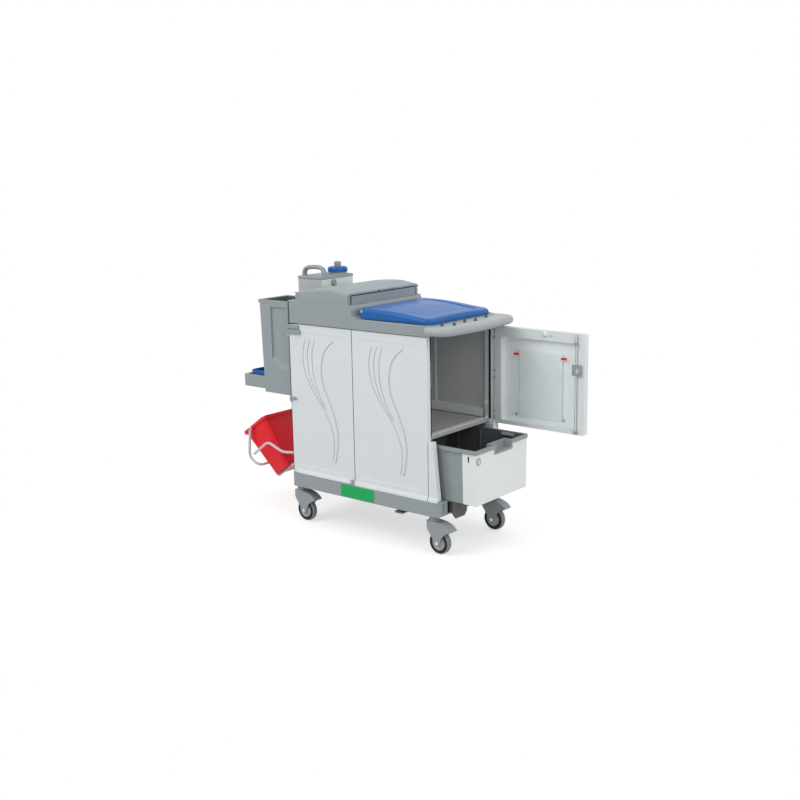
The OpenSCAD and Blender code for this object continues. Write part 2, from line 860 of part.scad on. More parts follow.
// Push handle: bowed grip bar with bent ends and a web with three holder holes
module push_handle() {
  grip_r = grip_d / 2;
  web_z = [deck_low - 3 - web_t, deck_low - 3];
  holes = [[46, -127], [31, -37], [41, 24]];
  sleeve = 4;
  color(GREY) difference() {
    union() {
      translate([bow_x, 0, grip_z]) rotate([0, 0, -bow_angle])
        rotate_extrude(angle = 2 * bow_angle) translate([grip_bow, 0]) circle(r = grip_r);
      both_sides() {
        translate([bend_x, -bend_y, grip_z]) rotate([0, 0, -90 - sleeve])
          rotate_extrude(angle = 90 - bow_angle + 2 * sleeve)
            translate([grip_bend, 0]) circle(r = grip_r + 0.4);
        bar_x([deck_x1, bend_x], -grip_end_y, grip_z, grip_r);
      }
      translate([0, 0, web_z[0]]) linear_extrude(web_t) intersection() {
        translate([bow_x, 0]) circle(r = grip_bow, $fn = 360);
        translate([deck_x1, -grip_end_y]) square([grip_reach, 2 * grip_end_y]);
        round_rect([deck_x1 - grip_bend, deck_x1 + grip_reach + 20], [-grip_end_y, grip_end_y], grip_bend);
      }
    }
    for (h = holes) bar_z(deck_x1 + h[0], h[1], [web_z[0] - cut, web_z[1] + cut], holder_d / 2);
  }
}

// Two fixed pins that carry the waste lid
module waste_lid_pins() {
  color(STEEL) both_sides() bar_y(waste_px, [-waste_w / 2, -ear_y], waste_pz, lid_pin_d / 2);
}

// Side view of the waste lid, drawn in by t for its hollow
function waste_outline(t) = let (z0 = t > 0 ? waste_z - cut : waste_z) concat(
  [[waste_x1 - t, z0], [waste_x1 - t, waste_z + waste_nose_h - 6 - t]],
  curve([waste_x1 - t - 3, waste_z + waste_nose_h - t], [waste_px + 190, waste_pz + waste_crown - 2 - t],
    [waste_px + 84, waste_pz + waste_crown - t], 8),
  curve([waste_px + 60, waste_pz + waste_crown - t], [waste_px + 20, waste_pz + waste_crown - t],
    [waste_px + 6, waste_pz + 13 - t], 4),
  arc(waste_px, waste_pz, 14 - t, 80, 180, 8),
  t > 0 ? [[waste_x0 + t, z0]] : arc(waste_x0 + 12, waste_z + 12, 12, 180, 270, 5));

// Waste lid: hollow cover with bored cheeks, notched at its hinge end for the ears
module waste_lid() {
  half = waste_w / 2;
  swing = waste_pin_h + 2;
  color(BLUE) difference() {
    across([-half, half]) polygon(waste_outline(0));
    across([-half + lid_t, half - lid_t]) polygon(waste_outline(lid_t));
    both_sides() block([waste_x0 - cut, waste_px + swing], [-half + lid_t, -ear_y + 1],
      [waste_z - cut, waste_pz + ear_r + 1]);
    bar_y(waste_px, [-half - cut, half + cut], waste_pz, lid_pin_d / 2 + pin_gap);
  }
}

// Open box on the high part of the deck
module top_box() {
  y = box_w / 2;
  side_z = deck_high + box_side_h;
  color(GREY) difference() {
    block([box_x0, box_x1], [-y, y], [deck_high, deck_high + box_h]);
    block([box_x0 + box_t, box_x1 - box_t], [-y + box_t, y - box_t], [deck_high + box_t, side_z + cut]);
    block([box_x0 - cut, box_x1 - box_t], [-y - cut, y + cut], [side_z, deck_high + box_h + cut]);
    block([box_x0 - cut, box_px - 6], [-y - cut, y + cut], [box_pz + 3, deck_high + box_h + cut]);
    bar_y(box_px, [-y - cut, y + cut], box_pz, lid_pin_d / 2 + pin_gap);
  }
}

// Two fixed pins that carry the box lid
module box_lid_pins() {
  color(STEEL) both_sides() bar_y(box_px, [-box_lid_w / 2, -box_w / 2 + box_t], box_pz, lid_pin_d / 2);
}

// Side view of the box lid. Its hollow, drawn in by t, runs out at both ends
function box_lid_outline(t) = let (
    over = t > 0 ? box_setback : 0, z = t > 0 ? box_lid_z - cut : box_lid_z,
    front = box_lid_z + box_lid_front_h - t, crown = box_lid_z + box_lid_crown_h - t,
    back = box_lid_z + box_lid_back_h - t, swing = box_pin_h - 1) concat(
  [[box_x1 + over, z], [box_x1 + over, front]],
  t > 0 ? [[box_x1, front]] : [],
  curve([box_x1 - 3, front + 1], [box_x1 - lid_rise / 2, crown + 1], [box_x1 - lid_rise, crown], 6),
  curve([box_x0 + lid_fall, crown - 1], [box_x0 + lid_fall / 2, crown - 5], [box_x0, back], 6),
  t > 0 ? [[box_x0 - over, back], [box_x0 - over, z]] :
    arc(box_px, box_pz, swing, 180 + acos(box_pin_x / swing), 270, 5));

// Box lid: arched cover with side skirts, a front apron over the box wall and bored cheeks
module box_lid() {
  half = box_lid_w / 2;
  y = box_w / 2;
  apron_z = deck_high + box_h + 2;
  color(GREY) difference() {
    across([-half, half]) polygon(box_lid_outline(0));
    difference() {
      across([-y - run_gap, y + run_gap]) polygon(box_lid_outline(lid_t));
      block([box_x1 - lid_t, box_x1 + cut], [-half, half], [apron_z, box_lid_z + box_lid_crown_h]);
    }
    bar_y(box_px, [-half - cut, half + cut], box_pz, lid_pin_d / 2 + pin_gap);
  }
}

// Fixed hinge pins of the end door, each between two lugs on the post
module door_hinge_pins() {
  lug = hinge_edge - 1;
  span = knuckle_h / 2 + run_gap;
  color(STEEL) for (z = HINGE_Z) {
    bar_z(hinge_x, hinge_y, [z - span - lug_h, z + span + lug_h], hinge_pin_d / 2);
    for (s = [z - span - lug_h, z + span]) {
      block([x_front, hinge_x], [hinge_y - lug, hinge_y + lug], [s, s + lug_h]);
      bar_z(hinge_x, hinge_y, [s, s + lug_h], lug);
    }
  }
}

// End door: framed leaf with a recess on its inner face and three bored knuckles
module end_door() {
  color(WHITE) difference() {
    union() {
      difference() {
        across([door_y0, door_y1]) round_rect([door_x0, door_x1], [door_z0, door_z1], 8);
        across([door_y0 - cut, skin_y]) round_rect([door_x0 + frame_hinge, door_x1 - frame_lock],
          [door_z0 + frame_foot, door_z1 - frame_top], 12);
      }
      for (z = HINGE_Z) {
        bar_z(hinge_x, hinge_y, [z - knuckle_h / 2, z + knuckle_h / 2], knuckle_r);
        block([hinge_x, door_x0 + 1], [hinge_y - knuckle_r + 0.5, hinge_y + knuckle_r - 0.5],
          [z - knuckle_h / 2, z + knuckle_h / 2]);
      }
    }
    for (z = HINGE_Z) bar_z(hinge_x, hinge_y, [z - knuckle_h / 2 - cut, z + knuckle_h / 2 + cut],
      hinge_pin_d / 2 + pin_gap);
  }
}

// Clear pocket on the inner face of the door, open at the top
module document_pocket() {
  t = 2;
  color(CLEAR) difference() {
    block([pocket_x0, pocket_x1], [pocket_y, skin_y], [pocket_z0, pocket_z1]);
    block([pocket_x0 + 2 * t, pocket_x1 - 2 * t], [pocket_y + t, skin_y + cut],
      [pocket_z0 + 2 * t, pocket_z1 + cut]);
  }
}

// Turn clip that holds the pocket: a short bar on a spindle in the door skin
module pocket_clip(i) {
  x = CLIP_X[i];
  y = pocket_y - run_gap;
  color(RED) {
    bar_y(x, [y - cut, skin_y - run_gap], clip_z, 3);
    across([y - 5, y]) round_rect([x - 13, x + 13], [clip_z - 4.5, clip_z + 4.5], 4.4);
  }
}

// Screws on the inner face of the door: two under the pocket, two in the top rail
module door_screws() {
  color(STEEL) {
    for (x = CLIP_X) bar_y(x, [pocket_y, skin_y], rest_z, 5);
    for (x = [rod_x + 14, rod_x - 122]) bar_y(x, [door_y0 - 2, door_y0], door_z1 - 19, 4.5);
  }
}

// Bored guides that keep the lock rods on the door
module rod_guides() {
  z0 = [door_z0 + 4, door_z1 - 36 - guide_h];
  color(GREY) for (z = z0) difference() {
    block([rod_x - 8, rod_x + 8], [door_y0 - case_t, door_y0], [z, z + guide_h]);
    bar_z(rod_x, rod_y, [z - cut, z + guide_h + cut], rod_d / 2 + pin_gap);
  }
}

// Lock case on the door frame, bored for the knob and for both rods
module lock_case() {
  half = case_h / 2;
  color(GREY) difference() {
    block([rod_x - 16, rod_x - 16 + case_w], [door_y0 - case_t, door_y0], [case_z - half, case_z + half]);
    bar_z(rod_x, rod_y, [case_z + 6, case_z + half + cut], rod_d / 2 + pin_gap);
    bar_z(rod_x, rod_y, [case_z - half - cut, case_z - 6], rod_d / 2 + pin_gap);
    bar_y(knob_x, [door_y0 - case_t - cut, door_y0 - run_gap], case_z, knob_r + pin_gap);
  }
}

// Turn knob of the door lock, with a thumb bar
module lock_knob() {
  face = door_y0 - case_t - run_gap;
  color(STEEL) {
    bar_y(knob_x, [face - cut, door_y0 - 2 * run_gap], case_z, knob_r);
    bar_y(knob_x, [face - 4, face], case_z, knob_r + 5);
    block([knob_x - 2.5, knob_x + 2.5], [face - 13, face - 4 + cut], [case_z - 9, case_z + 9]);
  }
}

// Lock rods, pushed out at top and foot by the knob; the upper one catches behind the rim of the deck
module lock_rod_upper() {
  color(STEEL) bar_z(rod_x, rod_y, [case_z + 6 + run_gap, deck_z + rod_catch - rod_travel], rod_d / 2);
}

module lock_rod_lower() {
  color(STEEL) bar_z(rod_x, rod_y, [bay_top - rod_foot + rod_travel, case_z - 6 - run_gap], rod_d / 2);
}

// Cross section of the drawer, drawn in by t
module drawer_section(t, z0, z1) {
  lean = drawer_taper / (drawer_h - rim_h);
  low = drawer_y - t - drawer_taper + (z0 - drawer_z) * lean;
  high = drawer_y - t - drawer_taper + (z1 - drawer_z) * lean;
  polygon([[-low, z0], [low, z0], [high, z1], [-high, z1]]);
}

// Drawer bin: tapered tub with a rim and a hand recess, open to the front and above
module drawer_bin() {
  x1 = drawer_x1 - cover_t;
  rim_z = drawer_top - rim_h;
  wall = cover_t + drawer_t;
  rim_y = drawer_y + rim_over;
  recess_x = x1 - hand_in;
  cheek = 10;
  color(GREY) difference() {
    union() {
      difference() {
        union() {
          along([drawer_x0, x1]) drawer_section(cover_t, drawer_z, rim_z + cut);
          round_plate([drawer_x0 - rim_over, drawer_x1 + rim_over], [-rim_y, rim_y], [rim_z, drawer_top], 12);
        }
        along([drawer_x0 + drawer_t, x1 - drawer_t])
          drawer_section(wall, drawer_z + drawer_t, drawer_top + cut);
      }
      block([recess_x - drawer_t, drawer_x1 + 2], [hand_y0, hand_y0 + hand_w], [hand_z - 8, drawer_top]);
    }
    block([recess_x, drawer_x1 + rim_over + cut], [hand_y0 + cheek, hand_y0 + hand_w - cheek],
      [hand_z, drawer_top + cut]);
    bar_x([x1 - drawer_t - cut, x1 + cut], lock_y, lock_z, lock_r + pin_gap);
  }
}

// White front cover, wrapped on to both sides of the drawer
module drawer_front() {
  rim_z = drawer_top - rim_h;
  color(WHITE) difference() {
    along([drawer_x1 - cover_wrap, drawer_x1]) drawer_section(0, drawer_z, rim_z);
    along([drawer_x1 - cover_wrap - cut, drawer_x1 - cover_t])
      drawer_section(cover_t, drawer_z - cut, rim_z + cut);
    block([drawer_x1 - cover_t - cut, drawer_x1 + cut], [hand_y0, hand_y0 + hand_w],
      [hand_z - 8, rim_z + cut]);
    bar_x([drawer_x1 - cover_t - cut, drawer_x1 + cut], lock_y, lock_z, lock_r + pin_gap);
  }
}

// Drawer lock: slotted barrel that turns in the front
module drawer_lock() {
  face = drawer_x1 + run_gap;
  color(STEEL) difference() {
    union() {
      bar_x([face, face + 3], lock_y, lock_z, drawer_lock_d / 2);
      bar_x([drawer_x1 - cover_t - drawer_t - 6, face + cut], lock_y, lock_z, lock_r);
    }
    block([face + 2, face + 4], [lock_y - 1.2, lock_y + 1.2], [lock_z - 6, lock_z + 6]);
  }
}

// Bracket on the end panel: hook rail and bumper for the bin, shelf with lips for the tank
module end_bracket() {
  shelf_z = [tank_z - run_gap - tank_shelf_t, tank_z - run_gap];
  y = [tank_y0 - 4, tank_y1 + 2];
  lip = 4;
  color(GREY) {
    block([rail_x - rail_t, rail_x], [bin_y0 + 15, bin_y1 - 15], [rail_z0, rail_z1]);
    for (e = [bin_y0 + 15, bin_y1 - 35]) block([rail_x - 1, x_back], [e, e + 20], [rail_z0, rail_z0 + 14]);
    block([bin_x1 + run_gap, x_back], [bin_y0 + 40, bin_y1 - 40], [bin_z + 30, bin_z + 50]);
    block([tank_x0 - 1 - lip, x_back], y, shelf_z);
    block([tank_x0 - 1 - lip, tank_x0 - 1], y, [shelf_z[0], tank_z + 24]);
    for (e = [y[0] + 20, y[1] - 26]) across([e, e + 6]) polygon([[x_back, shelf_z[0] + cut],
      [tank_x0 + 20, shelf_z[0] + cut], [tank_x0 + 20, shelf_z[0] - 10], [x_back, shelf_z[0] - 110]]);
  }
}

// Tall bin: open tub with a leaning far wall, a hollow foot and a hook over the rail
module tall_bin() {
  y = [bin_y0, bin_y1];
  iy = [bin_y0 + bin_t, bin_y1 - bin_t];
  hook_z = rail_z1 + run_gap;
  hook_x = rail_x + 2;
  color(GREY) {
    difference() {
      union() {
        across(y)
          polygon([[bin_x0, bin_top], [bin_x0 + bin_taper, bin_z], [bin_x1, bin_z], [bin_x1, bin_top]]);
        block([foot_x0, bin_x0 + 2 * bin_taper], y, [foot_z, foot_top]);
      }
      across(iy) polygon([[bin_x0 + bin_t, bin_top + cut], [bin_x0 + bin_t, bin_top - bin_t],
        [bin_x0 + bin_taper + bin_t, bin_z + bin_t], [bin_x1 - bin_t, bin_z + bin_t],
        [bin_x1 - bin_t, bin_top + cut]]);
      block([foot_x0 + bin_t, bin_x0 - 1], iy, [tray_z - run_gap, foot_top + cut]);
    }
    block([bin_x1 - 1, hook_x + hook_t], [bin_y0 + 25, bin_y1 - 25], [hook_z, hook_z + hook_t]);
    block([hook_x, hook_x + hook_t], [bin_y0 + 40, bin_y1 - 40], [hook_z - 24, hook_z + hook_t]);
  }
}

// Loose blue tray in the foot of the bin
module bin_tray() {
  t = 3;
  x = [foot_x0 + bin_t + tray_in, bin_x0 - 2];
  y = [bin_y0 + bin_t + 6, bin_y1 - bin_t - 6];
  z = [tray_z, foot_top + 20];
  color(BLUE) difference() {
    round_plate(x, y, z, 8);
    round_plate([x[0] + t, x[1] - t], [y[0] + t, y[1] - t], [z[0] + t, z[1] + cut], 8 - t);
  }
}

// Tank body: open-topped shell bored for the button
module tank_body() {
  t = 4;
  x = [tank_x0, tank_x1];
  y = [tank_y0, tank_y1];
  color(WHITE) difference() {
    round_plate(x, y, [tank_z, tank_top_z], tank_corner);
    round_plate([x[0] + t, x[1] - t], [y[0] + t, y[1] - t], [tank_z + t, tank_top_z + cut], tank_corner - t);
    bar_x([x[1] - t - cut, x[1] + cut], button_y, button_z, button_r + pin_gap);
  }
}

// Tank cover with the filler neck on a low boss and an arched carrying loop
module tank_top() {
  r = loop_d / 2;
  bend = 24;
  top_z = tank_cover_z + loop_h - r;
  color(GREY) difference() {
    union() {
      round_plate([tank_x0, tank_x1], [tank_y0, tank_y1], [tank_top_z, tank_cover_z], tank_corner);
      bar_z(cap_x, cap_y, [tank_top_z, tank_cover_z + cap_rise], cap_d / 2 - 3);
      bar_z(cap_x, cap_y, [tank_top_z, tank_cover_z + cap_rise + cap_h - 10], spout_r);
      for (x = LOOP_X) bar_z(x, loop_y, [tank_top_z, top_z - bend], r);
      bar_x([LOOP_X[0] + bend, LOOP_X[1] - bend], loop_y, top_z, r);
      translate([LOOP_X[1] - bend, loop_y, top_z - bend]) rotate([90, 0, 0])
        rotate_extrude(angle = 90) translate([bend, 0]) circle(r = r);
      translate([LOOP_X[0] + bend, loop_y, top_z - bend]) rotate([90, 0, 0]) rotate([0, 0, 90])
        rotate_extrude(angle = 90) translate([bend, 0]) circle(r = r);
    }
    bar_z(cap_x, cap_y, [tank_top_z - cut, tank_cover_z + cap_rise + cap_h], spout_r - 4);
  }
}

// Turning cap over the filler neck, with a small knob
module tank_cap() {
  z = tank_cover_z + cap_rise + run_gap;
  color(BLUE) difference() {
    union() {
      bar_z(cap_x, cap_y, [z, z + cap_h], cap_d / 2);
      bar_z(cap_x, cap_y, [z + cap_h - cut, z + cap_h + 24], 17);
    }
    bar_z(cap_x, cap_y, [z - cut, z + cap_h - 6], spout_r + run_gap);
  }
}

// Sprung push button in the wall of the tank
module tank_button() {
  t = 4;
  color(GREY) {
    bar_x([tank_x1 - t - 2, tank_x1 + button_travel + 4], button_y, button_z, button_r);
    bar_x([tank_x1 - t - run_gap - 3, tank_x1 - t - run_gap], button_y, button_z, button_r + 3);
  }
}

// Place in the cart of a point given in the bucket's own frame
function bucket_at(x, y, z) = bucket_o + [
  x * cos(bucket_tilt) - z * sin(bucket_tilt), y, x * sin(bucket_tilt) + z * cos(bucket_tilt)];

// Cradle on the end panel: two humped side arms and two arms under the bucket floor
module bucket_cradle() {
  under = -bucket_h - wire_r - run_gap;
  reach = (x_back - bucket_o[0] + under * sin(bucket_tilt)) / cos(bucket_tilt);
  wall = bucket_at(reach, 0, under);
  toe = -floor_l / 2 - wire_r - 2;
  arm_z = base_top + cradle_rise;
  arm = [[0, 0], [-55, -5], [-124, -14], [-219, 21], [-314, -51]];
  low = [bucket_at(reach - 9, 0, under), bucket_at(toe, 0, under), bucket_at(toe - 8, 0, under + cradle_toe)];
  plate_z = [min(wall[2], arm_z) - 26, max(wall[2], arm_z) + 20];
  color(STEEL) {
    block([x_back - 5, x_back], [-cradle_half - 12, cradle_half + 12], plate_z);
    both_sides() {
      across([-cradle_half - wire_r, -cradle_half + wire_r])
        strip([for (p = arm) [x_back - 5 + p[0], arm_z + p[1]]], wire_r);
      across([-cradle_low - wire_r, -cradle_low + wire_r]) strip([for (p = low) [p[0], p[2]]], wire_r);
    }
  }
}

// A tapered tub between mouth and floor, drawn in by t
module bucket_tub(t, z0, z1) {
  l = [floor_l / 2 - t, mouth_l / 2 - bucket_rim - t];
  w = [floor_w / 2 - t, mouth_w / 2 - bucket_rim - t];
  hull() {
    translate([0, 0, z0]) linear_extrude(0.5) round_rect([-l[0], l[0]], [-w[0], w[0]], 20, $fn = 32);
    translate([0, 0, z1 - 0.5]) linear_extrude(0.5) round_rect([-l[1], l[1]], [-w[1], w[1]], 24, $fn = 32);
  }
}

// Bucket: tapered tub with a rim and a stud on each side for the bail
module bucket() {
  l = mouth_l / 2;
  w = mouth_w / 2;
  color(RED) translate(bucket_o) rotate([0, -bucket_tilt, 0]) difference() {
    union() {
      bucket_tub(0, -bucket_h, -cut);
      round_plate([-l, l], [-w, w], [-bucket_rim_h, 0], 26);
      both_sides() bar_y(bail_local[0], [-bail_y - wire_r - 2, -w + cut], bail_local[2], stud_r);
    }
    bucket_tub(bucket_t, -bucket_h + bucket_t, cut);
  }
}

// Bail of the bucket: two bent legs with an eye on each stud, and a round cross bar
module bucket_bail() {
  pivot = bucket_at(bail_local[0], 0, bail_local[2]);
  o = [pivot[0], pivot[2]];
  bar = o + bail_drop;
  y = [-bail_y - wire_r, -bail_y + wire_r];
  color(STEEL) difference() {
    union() {
      both_sides() across(y) {
        strip([o + [-0.7, -7], o + bail_knee, bar], wire_r);
        translate(o) circle(r = eye_r);
      }
      bar_y(bar[0], [-bail_y, bail_y], bar[1], wire_r - 0.2);
    }
    both_sides() bar_y(o[0], [y[0] - cut, y[1] + cut], o[1], stud_r + pin_gap);
  }
}

// Grip sleeve on the cross bar of the bail
module bail_grip() {
  pivot = bucket_at(bail_local[0], 0, bail_local[2]);
  bar = [pivot[0], pivot[2]] + bail_drop;
  half = mouth_w / 2 - 95;
  color(DARK) difference() {
    bar_y(bar[0], [-half, half], bar[1], wire_r + 5);
    bar_y(bar[0], [-half - cut, half + cut], bar[1], wire_r - 0.2 + pin_gap);
  }
}

base_tray();
caster_stems();
for (i = [0:3]) {
  caster_fork(i);
  wheel(i);
  wheel_axle(i);
}
for (i = [0:1]) {
  pocket_clip(i);
}
drawer_runners();
label_plate();
corner_posts();
front_panel();
back_panel();
end_panel();
partition();
upper_shelf();
inner_shelf();
bay_jambs();
side_door_pins();
side_door();
side_door_clips();
side_door_latch();
deck();
push_handle();
waste_lid_pins();
waste_lid();
top_box();
box_lid_pins();
box_lid();
door_hinge_pins();
end_door();
document_pocket();
door_screws();
rod_guides();
lock_case();
lock_knob();
lock_rod_upper();
lock_rod_lower();
drawer_bin();
drawer_front();
drawer_lock();
end_bracket();
tall_bin();
bin_tray();
tank_body();
tank_top();
tank_cap();
tank_button();
bucket_cradle();
bucket();
bucket_bail();
bail_grip();
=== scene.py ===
import json
import math

import bmesh
import bpy
from mathutils import Matrix, Vector


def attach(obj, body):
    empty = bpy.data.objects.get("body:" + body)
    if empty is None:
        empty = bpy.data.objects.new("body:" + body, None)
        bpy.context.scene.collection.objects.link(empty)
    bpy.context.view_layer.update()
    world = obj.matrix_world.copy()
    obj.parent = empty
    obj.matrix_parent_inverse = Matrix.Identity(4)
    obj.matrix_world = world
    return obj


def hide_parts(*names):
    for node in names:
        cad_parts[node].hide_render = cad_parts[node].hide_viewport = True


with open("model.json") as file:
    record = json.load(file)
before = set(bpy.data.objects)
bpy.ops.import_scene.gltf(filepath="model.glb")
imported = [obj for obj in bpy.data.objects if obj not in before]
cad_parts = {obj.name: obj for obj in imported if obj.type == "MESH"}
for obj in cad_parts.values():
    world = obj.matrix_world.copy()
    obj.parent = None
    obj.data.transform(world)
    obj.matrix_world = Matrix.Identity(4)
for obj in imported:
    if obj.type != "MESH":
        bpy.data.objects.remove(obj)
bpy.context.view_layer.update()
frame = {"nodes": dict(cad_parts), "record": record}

bl_info = {
    "name": "Janitor cart dressing",
    "version": (1, 0, 0),
    "blender": (4, 5, 0),
    "location": "View3D > Sidebar > Cart",
    "description": "Dresses the packed janitor cart: moulded panels, lids, casters, tank, bucket and studio",
    "category": "Object",
}

BODY_OF = {n: body for body, nodes in frame["record"]["behaviour"]["bodies"].items() for n in nodes}
MM = 0.001


def colour(name, text, rgb):
    """A colour property in scene linear values."""
    return bpy.props.FloatVectorProperty(name=name, description=text, subtype="COLOR", size=3, min=0, max=1,
                                         default=rgb)


def length(name, text, metres):
    """A length property in metres."""
    return bpy.props.FloatProperty(name=name, description=text, unit="LENGTH", subtype="DISTANCE",
                                   default=metres)


class CartFinish(bpy.types.PropertyGroup):
    """Colours of the finishes, as scene linear values."""
    panel: colour("Panel white", "Cool white of the cabinet panels and doors", (0.70, 0.745, 0.755))
    grey: colour("Frame grey", "Grey of the base, deck, lids and bins", (0.285, 0.325, 0.345))
    # Painted light: a lighter copy of the panel white on the drawer's front cover, standing for the light
    # that falls on that face.
    front: colour("Drawer lit white", "White cover of the drawer", (0.785, 0.825, 0.815))
    # Painted light: a lighter copy of the panel white on the end door's recessed inner skin, standing for the
    # light that falls there.
    door_lit_white: colour("Door painted light", "Recessed inner skin of the end door", (0.86, 0.92, 0.93))
    # Painted shade: grey laid on the tank faces that turn to the near side, standing for the shade on that
    # side.
    sleeve: colour("Tank side", "Shaded side of the tank", (0.50, 0.50, 0.495))
    knob: colour("Knob grey", "Knob of the tank cap", (0.30, 0.285, 0.28))
    grey_rim: colour("Drawer grey", "Grey of the drawer tub", (0.275, 0.31, 0.32))
    # Light grey: the latch, push handle and hubs, and also the painted highlight on the deck lips.
    light_grey_and_lip_highlight: colour("Lid grey", "Lighter grey of the top box lid", (0.355, 0.392, 0.402))
    inside: colour("Compartment grey", "Grey of the inner walls and shelves", (0.54, 0.55, 0.545))
    rail: colour("Rail grey", "Raised rails round the shelf", (0.70, 0.72, 0.72))
    mat: colour("Shelf mat", "Dark floor of the shelf", (0.43, 0.42, 0.425))
    # Painted shade: the dark grey laid on the inner skins of the drawer and the tall bin, which are the same
    # moulding as their outsides.
    tub: colour("Tub painted shade", "Dark grey inside the drawer", (0.115, 0.120, 0.135))
    blue: colour("Lid blue", "Blue of the waste lid, tray and cap", (0.002, 0.108, 0.375))
    red: colour("Bucket red", "Red of the bucket and the pocket clips", (0.86, 0.007, 0.020))
    green: colour("Label green", "Green of the bare label plate", (0.010, 0.40, 0.10))
    tread: colour("Tread grey", "Grey tread of the wheels", (0.20, 0.21, 0.22))
    # Black: the rubber side rings of the wheels, and also the strips set into gaps, seams and holes as
    # painted shade.
    black_and_gap_shade: colour("Black and gap shade", "Black side rings of the wheels", (0.012, 0.012, 0.013))
    wire: colour("Wire coat", "Pale coat of the bail and the cradle", (0.62, 0.60, 0.61))
    steel: colour("Plated steel", "Plated pins, screws and rods", (0.58, 0.59, 0.60))
    dark: colour("Dark trim", "Runners and small dark parts", (0.085, 0.085, 0.088))


class CartDetail(bpy.types.PropertyGroup):
    """Sizes of the moulded detail."""
    fine_edge: length("Fine edge radius", "Round on the edges of small pieces", 0.0008)
    groove: length("Groove depth", "Depth of the flowing lines on the panels", 0.0028)
    field: length("Field depth", "Depth of the shallow field on each panel", 0.0018)
    drawer_ribs: bpy.props.IntProperty(name="Drawer ribs", description="Upright ribs on each drawer side",
                                       default=3, min=1)
    cap_ribs: bpy.props.IntProperty(name="Cap ribs", description="Grip ribs round the tank cap", default=30,
                                    min=6)


class CartStudio(bpy.types.PropertyGroup):
    """Camera and light."""
    lens: bpy.props.FloatProperty(name="Lens", description="Focal length", unit="CAMERA", default=50.98)
    camera: bpy.props.FloatVectorProperty(name="Camera", description="Place of the camera",
                                          subtype="TRANSLATION", unit="LENGTH",
                                          size=3, default=(3.103, -3.7077, 1.5922))
    turn: bpy.props.FloatVectorProperty(name="Camera turn",
                                        description="Yaw, pitch and roll of the camera in degrees", size=3,
                                        default=(39.64, 12.01, -1.05))
    key: bpy.props.FloatProperty(name="Key light", description="Power of the soft key light", unit="POWER",
                                 default=66.0)
    fill: bpy.props.FloatProperty(name="Fill light", description="Power of the fill light", unit="POWER",
                                  default=40.0)
    ambient: bpy.props.FloatProperty(name="Ambient", description="Strength of the plain white surroundings",
                                     default=0.74)


def settings(group):
    """The cart's own property group on the scene."""
    return getattr(bpy.context.scene, "cart_" + group)


def group_nodes(name, inputs, outputs):
    """A new shader node group with float sockets; returns its tree, inputs and outputs."""
    tree = bpy.data.node_groups.new(name, "ShaderNodeTree")
    for label, value in inputs:
        tree.interface.new_socket(label, in_out="INPUT", socket_type="NodeSocketFloat").default_value = value
    for label in outputs:
        tree.interface.new_socket(label, in_out="OUTPUT", socket_type="NodeSocketFloat")
    return tree, tree.nodes.new("NodeGroupInput"), tree.nodes.new("NodeGroupOutput")


def feed(tree, socket, value):
    """Links a socket to an input, or sets a constant on it."""
    if isinstance(value, bpy.types.NodeSocket):
        tree.links.new(value, socket)
    else:
        socket.default_value = value


def link(tree, *pairs):
    """Links pairs of an output and an input socket."""
    for source, target in pairs:
        tree.links.new(source, target)


def math_node(tree, operation, *values):
    """A math node; the values are sockets or numbers. Returns its output."""
    node = tree.nodes.new("ShaderNodeMath")
    node.operation = operation
    for socket, value in zip(node.inputs, values):
        feed(tree, socket, value)
    return node.outputs[0]


def ramp_node(tree, value, low, high, to_low=0.0, to_high=1.0):
    """A clamped map range; the values are sockets or numbers. Returns its output."""
    node = tree.nodes.new("ShaderNodeMapRange")
    for socket, number in zip(node.inputs, (value, low, high, to_low, to_high)):
        feed(tree, socket, number)
    return node.outputs[0]


def noise_node(tree, vector, scale, detail=3.0, rough=0.55):
    """Noise on a vector. Returns its value output."""
    node = tree.nodes.new("ShaderNodeTexNoise")
    for label, value in (("Vector", vector), ("Scale", scale), ("Detail", detail), ("Roughness", rough)):
        feed(tree, node.inputs[label], value)
    return node.outputs[0]


def object_vector(tree, stretch=(1.0, 1.0, 1.0)):
    """Object coordinates, stretched along the axes."""
    place = tree.nodes.new("ShaderNodeTexCoord")
    mapping = tree.nodes.new("ShaderNodeMapping")
    mapping.inputs["Scale"].default_value = stretch
    tree.links.new(place.outputs["Object"], mapping.inputs["Vector"])
    return mapping.outputs[0]


def moulded_grain_group():
    """Cloudy tone, roughness drift and fine leather-like grain of moulded plastic."""
    tree, ins, outs = group_nodes("moulded grain", [("Grain Scale", 900.0), ("Tone Spread", 0.05),
                                                    ("Roughness", 0.45),
                                                    ("Roughness Spread", 0.1)],
                                  ["Tone", "Roughness", "Grain"])
    vector = object_vector(tree)
    cloud = noise_node(tree, vector, 5.5, 4.0)
    half = math_node(tree, "MULTIPLY", ins.outputs["Tone Spread"], 0.5)
    tone = ramp_node(tree, cloud, 0.3, 0.7, math_node(tree, "SUBTRACT", 1.0, half),
                     math_node(tree, "ADD", 1.0, half))
    drift = math_node(tree, "SUBTRACT", noise_node(tree, vector, 24.0, 3.0), 0.5)
    rough = math_node(tree, "MULTIPLY_ADD", drift, ins.outputs["Roughness Spread"], ins.outputs["Roughness"])
    grain = noise_node(tree, vector, ins.outputs["Grain Scale"], 2.0)
    link(tree, (tone, outs.inputs["Tone"]), (rough, outs.inputs["Roughness"]), (grain, outs.inputs["Grain"]))
    return tree


